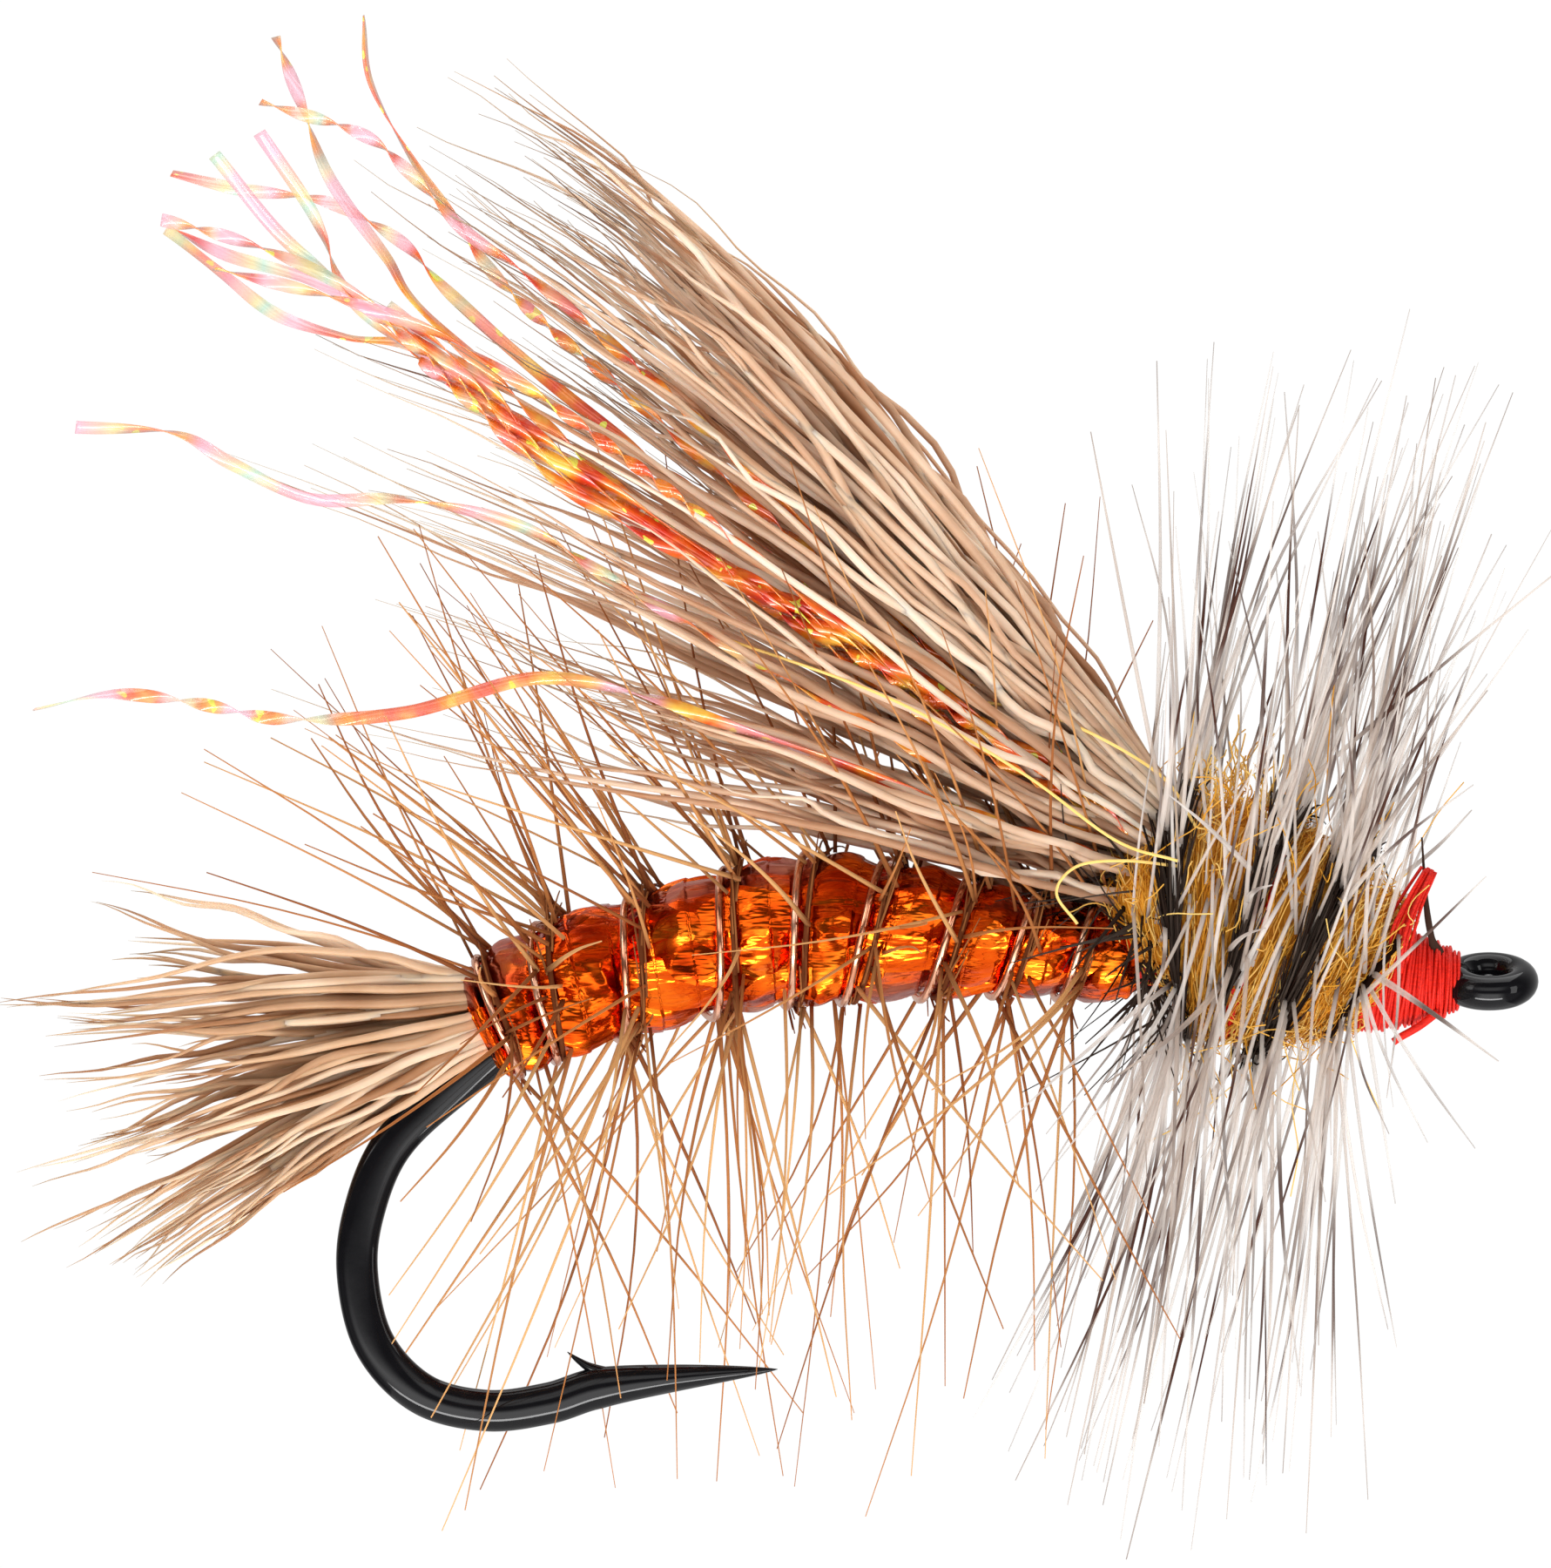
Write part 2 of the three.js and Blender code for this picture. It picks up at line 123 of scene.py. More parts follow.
class Layer:
    """A wound layer about a spine in the plane of the hook. Rows hold x, z, half-height, half-width.

    A place on it, or above it by lift, is a t, from 0 at its rear end to 1 at its front, and an
    angle round the spine: 0 is up and a quarter turn is +Y.
    """

    def __init__(self, rows):
        self.line = spline(np.array(rows, float)[None], 400)[0]
        far = travelled(self.line[:, :2])
        self.at = far / far[-1]
        self.slope = unit(np.gradient(self.line[:, :2], axis=0))

    def ahead(self, t):
        """Along the spine, towards the front."""
        x, z = (np.interp(t, self.at, column) for column in self.slope.T)
        return np.stack([x, np.zeros_like(x), z], axis=-1)

    def upwards(self, t):
        """Square to the spine, in the plane of the hook."""
        ahead = self.ahead(t)
        return np.stack([-ahead[..., 2], ahead[..., 1], ahead[..., 0]], axis=-1)

    def out(self, t, angle):
        """Away from the spine."""
        return self.upwards(t) * np.cos(angle)[..., None] + ACROSS * np.sin(angle)[..., None]

    def point(self, t, angle, lift=0):
        x, z, tall, wide = (np.interp(t, self.at, column) for column in self.line.T)
        centre = np.stack([x, np.zeros_like(x), z], axis=-1)
        return (centre + self.upwards(t) * ((tall + lift) * np.cos(angle))[..., None]
                + ACROSS * ((wide + lift) * np.sin(angle))[..., None])


def skin_grid(rows, columns):
    """The t and the angle of every point of a layer's skin, ring by ring."""
    t = np.linspace(0, 1, rows)[:, None] * np.ones((1, columns))
    angle = circle(columns)[None] * np.ones((rows, 1))
    return t, angle


def skin_faces(rows, columns, first=0):
    """Quads between rings of points from number first on, and one face over each end."""
    i = np.arange(rows - 1)[:, None] * columns
    j = np.arange(columns)[None]
    after = (np.arange(columns) + 1)[None] % columns
    quads = np.stack([i + j, i + after, i + after + columns, i + j + columns], axis=-1)
    last = first + (rows - 1) * columns
    ends = [list(range(first, first + columns))[::-1], list(range(last, last + columns))]
    return (quads.reshape(-1, 4) + first).tolist() + ends


# ---- strands and pieces

def strand_rings(paths, radii, sides, flat, twist, beside):
    """Rings of points round (n, m, 3) paths, spanned square to the direction beside."""
    n, m = paths.shape[:2]
    tangent = unit(np.gradient(paths, axis=1))
    if beside is None:
        chord = np.abs(paths[:, -1] - paths[:, 0])
        beside = np.eye(3)[np.argmin(chord, axis=1)][:, None]
    normal = unit(np.cross(tangent, beside))
    binormal = np.cross(tangent, normal)
    turn = np.broadcast_to(twist, (n, m))[..., None]
    angle = circle(sides) + math.pi / sides
    wide = np.cos(angle)
    thin = np.sin(angle) * flat
    sideways = wide * np.cos(turn) - thin * np.sin(turn)
    upwards = wide * np.sin(turn) + thin * np.cos(turn)
    offset = sideways[..., None] * normal[:, :, None] + upwards[..., None] * binormal[:, :, None]
    return paths[:, :, None] + np.broadcast_to(radii, (n, m))[..., None, None] * offset


class Strands:
    """Closed tubes gathered into one mesh."""

    def __init__(self):
        self.points, self.faces, self.count = [], [], 0
        self.values = {"along": [], "tone": [], "shade": []}

    def add(self, paths, radii, tone, shade=0, sides=4, flat=1, twist=0, beside=None):
        """Tubes along (n, m, 3) paths. flat squashes the section, twist turns it as it runs."""
        n, m = paths.shape[:2]
        rings = strand_rings(paths, radii, sides, flat, twist, beside)
        self.points.append(rings.reshape(-1, 3))
        strand = m * sides
        for first in range(self.count, self.count + n * strand, strand):
            self.faces += skin_faces(m, sides, first)
        self.count += n * strand
        given = {"along": shares(m), "tone": np.asarray(tone, float).reshape(-1, 1), "shade": shade}
        for key, value in given.items():
            rows = np.broadcast_to(value, (n, m))[..., None]
            self.values[key].append(np.broadcast_to(rows, (n, m, sides)).ravel())
        return self

    def piece(self, name, material, slot, *nodes):
        values = {key: np.concatenate(rows) for key, rows in self.values.items()}
        make_piece(name, np.concatenate(self.points), self.faces, material, nodes, values)


def add_object(name, data):
    made = bpy.data.objects.new(name, data)
    bpy.context.scene.collection.objects.link(made)
    return made


def make_piece(name, points, faces, material, nodes, values=None):
    """One smooth mesh on the fly that stands for CAD nodes. values are point attributes."""
    mesh = bpy.data.meshes.new(name)
    mesh.from_pydata((np.asarray(points) * MM).tolist(), [], faces)
    mesh.polygons.foreach_set("use_smooth", np.ones(len(mesh.polygons), bool))
    for key, numbers in (values or {}).items():
        layer = mesh.attributes.new(key, "FLOAT", "POINT")
        layer.data.foreach_set("value", np.asarray(numbers, np.float32))
    mesh.materials.append(material)
    piece = add_object(name, mesh)
    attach(piece, "root")
    if nodes:
        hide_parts(*nodes)


# ---- materials

def rgb(red, green, blue):
    """A colour as seen on screen, 0 to 255, as the linear colour a shader takes."""
    seen = np.array([red, green, blue]) / 255
    linear = np.where(seen <= 0.04045, seen / 12.92, ((seen + 0.055) / 1.055) ** 2.4)
    return (*linear.tolist(), 1)


class Nodes:
    """A node tree, with small calls that each add one node and return its output."""

    def __init__(self, tree):
        self.tree = tree

    def feed(self, socket, value):
        if isinstance(value, bpy.types.NodeSocket):
            self.tree.links.new(value, socket)
        else:
            socket.default_value = value

    def node(self, kind, *values, out=0, settings=(), **inputs):
        """values go to the first sockets, and inputs to the sockets of those names."""
        made = self.tree.nodes.new(kind)
        for key, value in dict(settings).items():
            setattr(made, key, value)
        for socket, value in zip(made.inputs, values):
            self.feed(socket, value)
        for key, value in inputs.items():
            self.feed(made.inputs[key.replace("_", " ")], value)
        return made.outputs[out]

    def maths(self, operation, *values):
        return self.node("ShaderNodeMath", *values, settings={"operation": operation})


class Paint(Nodes):
    """A procedural material."""

    def __init__(self, name, roughness, metallic=0, **sockets):
        self.material = bpy.data.materials.new(name)
        self.material.use_nodes = True
        super().__init__(self.material.node_tree)
        self.shader = self.tree.nodes["Principled BSDF"]
        self.give("Metallic", metallic)
        self.give("Roughness", roughness)
        for key, value in sockets.items():
            self.give(key.replace("_", " "), value)

    def give(self, socket, value):
        self.feed(self.shader.inputs[socket], value)

    def glow(self, weight, depth):
        """Light that soaks through thin fibres, reddening on the way; depth in millimetres."""
        self.give("Subsurface Weight", weight)
        self.give("Subsurface Radius", (1, 0.72, 0.5))
        self.give("Subsurface Scale", depth * MM)

    def value(self, name):
        return self.node("ShaderNodeAttribute", out=2, settings={"attribute_name": name})

    def place(self, *scale):
        """Position on the object, in millimetres times scale."""
        coordinates = self.node("ShaderNodeTexCoord", out=3)
        size = Vector(scale if len(scale) == 3 else scale * 3) / MM
        return self.node("ShaderNodeMapping", Vector=coordinates, Scale=size)

    def noise(self, where, detail, distortion=0):
        return self.node("ShaderNodeTexNoise", Vector=where, Scale=1, Detail=detail,
                         Distortion=distortion)

    def vector(self, operation, a, b, out=0):
        return self.node("ShaderNodeVectorMath", a, b, out=out, settings={"operation": operation})

    def ramp(self, factor, stops):
        made = self.tree.nodes.new("ShaderNodeValToRGB")
        elements = made.color_ramp.elements
        while len(elements) < len(stops):
            elements.new(0.5)
        for element, (position, colour) in zip(elements, stops):
            element.position = position
            element.color = colour
        self.tree.links.new(factor, made.inputs[0])
        return made.outputs[0]

    def mix(self, factor, a, b):
        made = self.tree.nodes.new("ShaderNodeMix")
        made.data_type = "RGBA"
        self.feed(made.inputs[0], factor)
        self.feed(made.inputs[6], a)
        self.feed(made.inputs[7], b)
        return made.outputs[2]

    def bump(self, height, strength, distance):
        """Relief from a height, distance in millimetres."""
        self.give("Normal", self.node("ShaderNodeBump", Height=height, Strength=strength,
                                      Distance=distance * MM))


def hook_paint():
    paint = Paint("black_nickel", 0.1, Specular_IOR_Level=0.25)
    speckle = paint.noise(paint.place(3), detail=4)
    paint.give("Base Color", paint.mix(speckle, rgb(7, 7, 9), rgb(16, 15, 18)))
    paint.give("Roughness", paint.maths("MULTIPLY_ADD", speckle, 0.08, 0.02))
    paint.bump(paint.noise(paint.place(9), detail=3), 0.1, 0.004)
    return paint.material


def hair_paint(name, pale, middle, deep, dark_tip):
    """Deer hair: tone picks how pale a hair is, and a fine streak of noise runs through it."""
    paint = Paint(name, 0.45, Specular_IOR_Level=0.25)
    paint.glow(0.5, 0.14)
    tone = paint.value("tone")
    streak = paint.noise(paint.place(0.9), detail=4)
    tone = paint.maths("ADD", tone, paint.maths("MULTIPLY_ADD", streak, 0.7, -0.35))
    hair = paint.ramp(tone, [(0, deep), (0.5, middle), (1, pale)])
    paint.give("Base Color", paint.mix(paint.value("shade"), hair, dark_tip))
    return paint.material


def feather_paint(name, pale, middle, deep, bar, down, alpha):
    """Cock hackle: tone sets how pale a barb is, shade how far its dark bars cover it.

    Barbs of tone 0 are the soft down at the feather's foot, whose dark is deeper than a bar's.
    alpha is how solid a barb is where no bar covers it.
    """
    paint = Paint(name, 0.5, Specular_IOR_Level=0.01)
    tone, shade = paint.value("tone"), paint.value("shade")
    barb = paint.ramp(tone, [(0, deep), (0.5, middle), (1, pale)])
    dark = paint.ramp(tone, [(0.02, down), (0.08, bar)])
    paint.give("Base Color", paint.mix(shade, barb, dark))
    paint.give("Alpha", paint.maths("MULTIPLY_ADD", shade, 1 - alpha, alpha))
    return paint.material


def tinsel_paint():
    """Orange metallised film, crushed into flat facets with fine creases along the body."""
    paint = Paint("orange_tinsel", 0.2, 1)
    where = paint.place(0.75, 1.15, 1.15)
    facets = paint.node("ShaderNodeTexVoronoi", where, Scale=1).node.outputs
    offset = paint.vector("SUBTRACT", where, facets["Position"])
    tilt = paint.vector("SUBTRACT", facets["Color"], (0.5, 0.5, 0.5))
    facet = paint.vector("DOT_PRODUCT", offset, tilt, out=1)
    crease = paint.noise(paint.place(0.8, 4.5, 4.5), detail=2)
    patch = paint.noise(paint.place(0.7, 1.6, 1.6), detail=4, distortion=0.4)
    film = [(0.3, rgb(180, 48, 8)), (0.5, rgb(234, 86, 14)), (0.7, rgb(255, 122, 28))]
    paint.give("Base Color", paint.ramp(patch, film))
    paint.give("Roughness", paint.maths("MULTIPLY_ADD", crease, 0.24, 0.03))
    paint.bump(paint.maths("MULTIPLY_ADD", crease, 0.06, facet), 1, 1)
    return paint.material


def copper_paint():
    paint = Paint("copper_wire", 0.2, 1)
    stain = paint.noise(paint.place(1.2), detail=3)
    paint.give("Base Color", paint.ramp(stain, [(0.3, rgb(214, 134, 98)), (0.7, rgb(255, 206, 176))]))
    paint.give("Roughness", paint.maths("MULTIPLY_ADD", stain, 0.2, 0.1))
    return paint.material


def thread_paint(name, dark, light):
    """Waxed tying thread of fine loose fibres."""
    paint = Paint(name, 0.55, Specular_IOR_Level=0.3)
    fibre = paint.noise(paint.place(8, 30, 30), detail=4)
    paint.give("Base Color", paint.ramp(fibre, [(0.3, dark), (0.7, light)]))
    paint.bump(fibre, 0.4, 0.02)
    return paint.material


def dubbing_paint():
    paint = Paint("amber_fur", 0.6, Specular_IOR_Level=0.2)
    patch = paint.noise(paint.place(0.8), detail=5)
    tone = paint.maths("ADD", paint.value("tone"), paint.maths("MULTIPLY_ADD", patch, 0.6, -0.3))
    fur = [(0, rgb(202, 126, 28)), (0.45, rgb(240, 170, 50)), (1, rgb(255, 218, 128))]
    paint.give("Base Color", paint.ramp(tone, fur))
    return paint.material


def flash_paint():
    """Iridescent film: clear pink, cream and green where it lies flat to the camera, and orange where its
    twist sets it edge-on to the camera, which is a painted iridescent reflection.
    """
    paint = Paint("iridescent_film", 0.12, 0.1, Coat_Weight=1, Coat_Roughness=0.03)
    along, shade, tone = paint.value("along"), paint.value("shade"), paint.value("tone")
    wander = paint.noise(paint.place(0.35), detail=2)
    band = paint.maths("FRACT", paint.maths("ADD", paint.maths("MULTIPLY_ADD", along, 9, tone), wander))
    pink, cream, green = rgb(255, 178, 200), rgb(252, 222, 176), rgb(188, 226, 200)
    pale = paint.ramp(band, [(0, pink), (0.4, rgb(255, 186, 204)), (0.5, cream), (0.6, green),
                             (0.7, rgb(250, 226, 150)), (0.8, rgb(255, 196, 160)), (1, pink)])
    fine = paint.noise(paint.place(1.3), detail=3)
    deep = paint.ramp(fine, [(0.33, rgb(226, 52, 22)), (0.45, rgb(244, 104, 22)),
                             (0.56, rgb(252, 150, 36)), (0.68, rgb(255, 206, 80))])
    film = paint.mix(shade, pale, deep)
    # painted glints: bright yellow spots on the twisted, orange film stand in for its sparkling highlights
    painted_glint = paint.maths("GREATER_THAN", paint.noise(paint.place(2.4), detail=1), 0.68)
    film = paint.mix(paint.maths("MULTIPLY", painted_glint, shade), film, rgb(244, 244, 84))
    paint.give("Base Color", film)
    paint.give("Alpha", paint.maths("MULTIPLY_ADD", shade, 0.35, 0.5))
    return paint.material


# ---- hook

WIRE = 0.39
FORGED_TALL = 0.01
FORGED_ACROSS = 0.28
FORGED_SQUARENESS = 1.3
EYE_RADIUS = 0.62
EYE_WIRE = 0.34
EYE_END_WIRE = 0.31
EYE_ROLL = math.radians(22)


def hook_line():
    """The middle of the wire, from behind the eye to the point."""
    shank = [(-1.5, 0.02), (-3.6, 0.12), (-7.1, 0.46), (-10.6, 0.58), (-13.6, 0.42), (-16.1, -0.05),
             (-18.1, -0.8), (-19.88, -2.07), (-21, -3.15)]
    bend = [(-21.53, -4.4), (-21.66, -5.6), (-21.33, -6.95), (-20.43, -7.9), (-19.2, -8.22),
            (-18, -8.08), (-17.05, -7.79), (-15.6, -7.6), (-13.62, -7.43)]
    return evenly(flat_path(shank + bend, 900), 420)


def squarish(wave, power):
    """A sine or cosine whose circle has flatter sides as power falls below 1."""
    return np.sign(wave) * np.abs(wave) ** power


def round_rings(line, size, across, upwards):
    """Round rings of points along a line, in the plane of two directions."""
    angle = circle(24)[None, :, None]
    return line[:, None] + size[:, None, None] * (np.cos(angle) * across + np.sin(angle) * upwards)


def shank_rings():
    """The shank, the bend with its forged flat sides, and the tapered point."""
    line = hook_line()
    t = np.linspace(0, 1, len(line))
    forged = smooth(0.53, 0.6, t)
    taper = np.clip((1 - t) / 0.105, 0.004, 1) ** 0.75
    tall = (WIRE + FORGED_TALL * forged) * taper
    wide = np.minimum(WIRE + (FORGED_ACROSS - WIRE) * forged, (WIRE + FORGED_TALL) * taper)
    flattened = forged * (1 - smooth(0.72, 0.8, t))
    power = (2 / (2 + FORGED_SQUARENESS * flattened))[:, None]
    angle = circle(32)
    tall_at = tall[:, None] * squarish(np.sin(angle), power)
    wide_at = wide[:, None] * squarish(np.cos(angle), power)
    inward = np.cross(unit(np.gradient(line, axis=0)), ACROSS)
    return line[:, None] + tall_at[..., None] * inward[:, None] + wide_at[..., None] * ACROSS


def eye_rings():
    """The wire leaves the shank, runs once round the eye's ring and closes beside the neck."""
    around = np.linspace(math.radians(196), math.radians(524), 120)
    ring = np.stack([EYE_RADIUS * np.cos(around), EYE_RADIUS * np.sin(around), 0 * around], axis=1)
    neck = spline(np.array([[[-2.2, 0, 0.05], [-1.5, 0, 0.02], [-1, -0.03, 0], ring[0]]]), 40)[0]
    line = np.concatenate([neck[:-1], ring])
    size = np.concatenate([np.linspace(WIRE, EYE_WIRE, 39), np.linspace(EYE_WIRE, EYE_END_WIRE, 120)])
    side = np.cross(unit(np.gradient(line, axis=0)), UP)
    rings = round_rings(line, size, side[:, None], UP)
    x, y, z = rings[..., 0], rings[..., 1], rings[..., 2]
    rolled_y = y * math.cos(EYE_ROLL) - z * math.sin(EYE_ROLL)
    rolled_z = y * math.sin(EYE_ROLL) + z * math.cos(EYE_ROLL)
    rolled = np.stack([x, rolled_y, rolled_z], axis=-1)
    share = smooth(-1.9, -0.9, x)[..., None]
    return rings * (1 - share) + rolled * share


def barb_rings():
    """A sliver cut up from the inside of the point."""
    line = flat_path([(-15.9, -7.62), (-16.6, -7.56), (-17.15, -7.42), (-17.42, -7.27), (-17.64, -7.1)], 40)
    size = 0.2 * np.clip(1 - np.linspace(0, 1, 40), 0.02, 1) ** 0.7
    inward = np.cross(unit(np.gradient(line, axis=0)), ACROSS)
    return round_rings(line, size, 0.8 * inward[:, None], ACROSS)


def make_hook():
    points, faces, count = [], [], 0
    for rings in (shank_rings(), eye_rings(), barb_rings()):
        rows, sides = rings.shape[:2]
        points.append(rings.reshape(-1, 3))
        faces += skin_faces(rows, sides, count)
        count += rows * sides
    make_piece("hook_wire", np.concatenate(points), faces, hook_paint(), ["hook"])


make_hook()


# ---- hair bunches

def hair_sheet(guides):
    """A smooth sheet of [x, z] through the guides, from the top hair to the lowest."""
    along = spline(np.array(guides, float), 80)
    return spline(along.transpose(1, 0, 2), 80).transpose(1, 0, 2)


def on_sheet(sheet, a, u):
    """Bilinear place on the sheet: a runs across the guides and u along them, both from 0 to 1."""
    rows, columns = sheet.shape[:2]
    r = np.clip(a, 0, 1) * (rows - 1)
    c = np.clip(u, 0, 1) * (columns - 1)
    i = np.minimum(r.astype(int), rows - 2)
    j = np.minimum(c.astype(int), columns - 2)
    fr, fc = (r - i)[..., None], (c - j)[..., None]
    top = sheet[i, j] * (1 - fc) + sheet[i, j + 1] * fc
    low = sheet[i + 1, j] * (1 - fc) + sheet[i + 1, j + 1] * fc
    return top * (1 - fr) + low * fr


def wavy(paths, rng, size, waves):
    """Gentle bends, growing away from the root, different on each strand."""
    n, m = paths.shape[:2]
    s = shares(m)
    grow = smooth(0, 0.3, s)
    for axis in range(3):
        phase = rng.uniform(0, TURN, (n, 1))
        pace = rng.uniform(0.6, 1.4, (n, 1)) * waves
        paths[..., axis] += size * rng.normal(0, 1, (n, 1)) * grow * np.sin(TURN * pace * s + phase)
    return paths


class Bunch:
    """Hairs over a sheet of guides, which gather into clumps towards their tips.

    share is how much of the hair lies above each guide, gather how far hairs close on their clump,
    depths the half-depths at the root and at the tips, and reach the clumps' range of lengths.
    """

    def __init__(self, rng, guides, share, count, clumps, gather, depths, reach, columns):
        sheet = hair_sheet(guides)
        rows = np.linspace(0, 1, len(guides))
        self.start = np.interp(rng.uniform(0, 1, count), share, rows)
        self.depth = rng.uniform(-1, 1, count)
        middle = np.interp(rng.uniform(0, 1, clumps), share, rows)
        side = rng.uniform(-1, 1, clumps)
        length = rng.uniform(*reach, clumps)
        # hairs gather with those beside them rather than with those above or below
        apart = (4 * (self.start[:, None] - middle)) ** 2 + (self.depth[:, None] - side) ** 2
        clump = np.argmin(apart, axis=1)
        s = shares(columns)
        pull = smooth(0.2, 1, s) * gather * rng.uniform(0.4, 1, (count, 1))
        a = self.start[:, None] + (middle[clump] - self.start)[:, None] * pull
        d = self.depth[:, None] + (side[clump] - self.depth)[:, None] * pull
        far = (length[clump] * rng.uniform(0.84, 1, count))[:, None]
        flat = on_sheet(sheet, a, s * far)
        room = np.sqrt(np.clip(1 - 0.6 * (2 * a - 1) ** 2, 0.2, 1))
        y = d * room * (depths[0] + (depths[1] - depths[0]) * (s * far) ** 1.25)
        self.paths = np.stack([flat[..., 0], y, flat[..., 1]], axis=-1)

    def add_butts(self, offset, squeeze):
        """The bound ends, which run on under the thread."""
        butt = self.paths[:, :1] + np.array(offset)
        butt[..., 1] *= squeeze
        self.paths = np.concatenate([butt, self.paths], axis=1)

    def make_locks(self, kind, ring, radii, tone, shade, paint):
        """A piece for each lock of hair: the middle one is 1, then a ring of them from the top."""
        up = 1 - 2 * self.start
        turn = np.round(np.arctan2(self.depth, up) / (TURN / ring)).astype(int) % ring
        lock = np.where(np.hypot(up, self.depth) < 0.43, 1, 2 + turn)
        for number in range(1, ring + 2):
            mine = lock == number
            strands = Strands().add(self.paths[mine], radii[mine], tone[mine], shade[mine], sides=6)
            strands.piece(f"{kind}_lock_{number}", paint, f"{kind}_hair", f"{kind}_hair_{number}")


# Each guide is one hair's route from root to tip, [x, z], from the top of the bunch down.
WING_GUIDES = [
    [(-6.05, 3.6), (-8.4, 7), (-11.8, 11.4), (-15.3, 14.9), (-18.8, 18.3)],
    [(-6.1, 3.4), (-9, 6.7), (-13, 11.4), (-17, 15.1), (-21.2, 17.7)],
    [(-6.15, 3.2), (-9, 6), (-13, 10), (-17.2, 13.6), (-22.2, 16.8)],
    [(-6.2, 2.95), (-9, 5.2), (-13, 8.6), (-17.5, 12), (-23.2, 15.5)],
    [(-6.25, 2.65), (-9, 4.4), (-13, 7.2), (-18, 10.2), (-24.2, 12.8)],
    [(-6.3, 2.35), (-9, 3.6), (-13, 5.7), (-18, 8.2), (-24.8, 11)],
    [(-6.35, 2.05), (-9, 2.9), (-13, 4.6), (-18, 6.6), (-25.2, 9.2)],
    [(-6.4, 1.7), (-9, 2.3), (-13, 3.5), (-18, 4.9), (-25.6, 7.8)],
    [(-6.6, 1.2), (-9, 1.75), (-13, 2.7), (-18, 3.2), (-25, 3.5)],
]
WING_SHARE = [0, 0.1, 0.3, 0.52, 0.69, 0.78, 0.85, 0.95, 1]


def make_wing():
    rng = np.random.default_rng(11)
    n = 290
    wing = Bunch(rng, WING_GUIDES, WING_SHARE, n, clumps=60, gather=0.3, depths=(0.95, 6),
                 reach=(0.72, 1), columns=30)
    wing.paths = wavy(wavy(wing.paths, rng, 0.15, 1.8), rng, 0.06, 5)
    # a few of the top hairs bow away from the rest
    loose = wing.start < 0.02
    arc = np.sin(np.linspace(0, math.pi, 30))[None, :, None]
    bow = np.linspace(0.25, 0.95, loose.sum())[:, None, None] * arc
    wing.paths[loose] += bow * unit(np.array([1, 0, 0.9]))
    wing.add_butts((1.6, 0, -0.6), 0.6)
    s = shares(wing.paths.shape[1])
    radii = rng.uniform(0.075, 0.115, (n, 1)) * (1 - 0.95 * smooth(0.55, 1.03, s))
    radii[loose] *= 0.6
    tone = rng.normal(0.5, 0.27, n)
    # the tips of the upper hairs are nearly black, and a hair's root can be dark too
    upper = (wing.start > 0.08) & (wing.start < 0.5)
    tip = np.where(upper, rng.uniform(0.5, 1, n), rng.uniform(0.1, 0.6, n))[:, None]
    foot = 0.4 * rng.uniform(0, 1, (n, 1)) * (1 - smooth(0.08, 0.4, s))
    shade = np.maximum(tip * smooth(0.8, 0.94, s), foot)
    paint = hair_paint("wing_hair", rgb(236, 214, 192), rgb(208, 172, 142), rgb(172, 122, 86),
                       dark_tip=rgb(64, 50, 48))
    wing.make_locks("wing", 6, radii, tone, shade, paint)


make_wing()

TAIL_GUIDES = [
    [(-19.55, 0.1), (-21, 0.5), (-22.6, 1.2), (-24.2, 2), (-25.8, 2.8)],
    [(-19.6, 0.05), (-21.6, 0.1), (-24, 0.15), (-26.4, 0.1), (-28.6, -0.05)],
    [(-19.6, -0.25), (-21.8, -0.35), (-24, -0.55), (-26, -0.62), (-28.2, -0.7)],
    [(-19.6, -0.6), (-21.8, -0.95), (-24, -1.25), (-26, -1.5), (-28.4, -1.9)],
    [(-19.5, -0.9), (-21.6, -1.5), (-24, -2.2), (-26.2, -2.8), (-28.4, -3.3)],
    [(-19.4, -1.1), (-21.4, -1.95), (-23.8, -3.1), (-26, -4.2), (-28, -5.3)],
    [(-19.3, -1.25), (-21.2, -2.2), (-23.4, -3.6), (-25.4, -4.9), (-27, -6)],
    [(-19.2, -1.4), (-20.9, -2.4), (-22.8, -3.8), (-24.6, -5.2), (-26, -6.5)],
]
TAIL_SHARE = [0, 0.08, 0.22, 0.36, 0.52, 0.68, 0.84, 1]


def make_tail():
    rng = np.random.default_rng(23)
    n = 140
    tail = Bunch(rng, TAIL_GUIDES, TAIL_SHARE, n, clumps=26, gather=0.97, depths=(0.8, 2.6),
                 reach=(0.72, 1.06), columns=24)
    tail.paths = wavy(wavy(tail.paths, rng, 0.09, 1.2), rng, 0.03, 3)
    tail.add_butts((0.9, 0, 0.35), 0.7)
    s = shares(tail.paths.shape[1])
    radii = rng.uniform(0.085, 0.135, (n, 1)) * (1 - 0.97 * s ** 1.7)
    tone = rng.normal(0.5, 0.32, n)
    shade = rng.uniform(0, 0.8, (n, 1)) * smooth(0.78, 1, s)
    paint = hair_paint("tail_hair", rgb(230, 204, 178), rgb(202, 165, 130), rgb(160, 114, 78),
                       dark_tip=rgb(84, 66, 58))
    tail.make_locks("tail", 5, radii, tone, shade, paint)


make_tail()


# ---- body

BODY = Layer([
    [-19.35, -0.93, 1.1, 1.1],
    [-17.97, -0.23, 1.25, 1.22],
    [-16.3, 0.3, 1.26, 1.24],
    [-14.5, 0.75, 1.32, 1.3],
    [-13.1, 0.98, 1.4, 1.36],
    [-11.9, 0.97, 1.34, 1.3],
    [-10.25, 0.85, 1.14, 1.12],
    [-9, 0.68, 0.95, 0.95],
    [-6.7, 0.45, 0.85, 0.85],
])
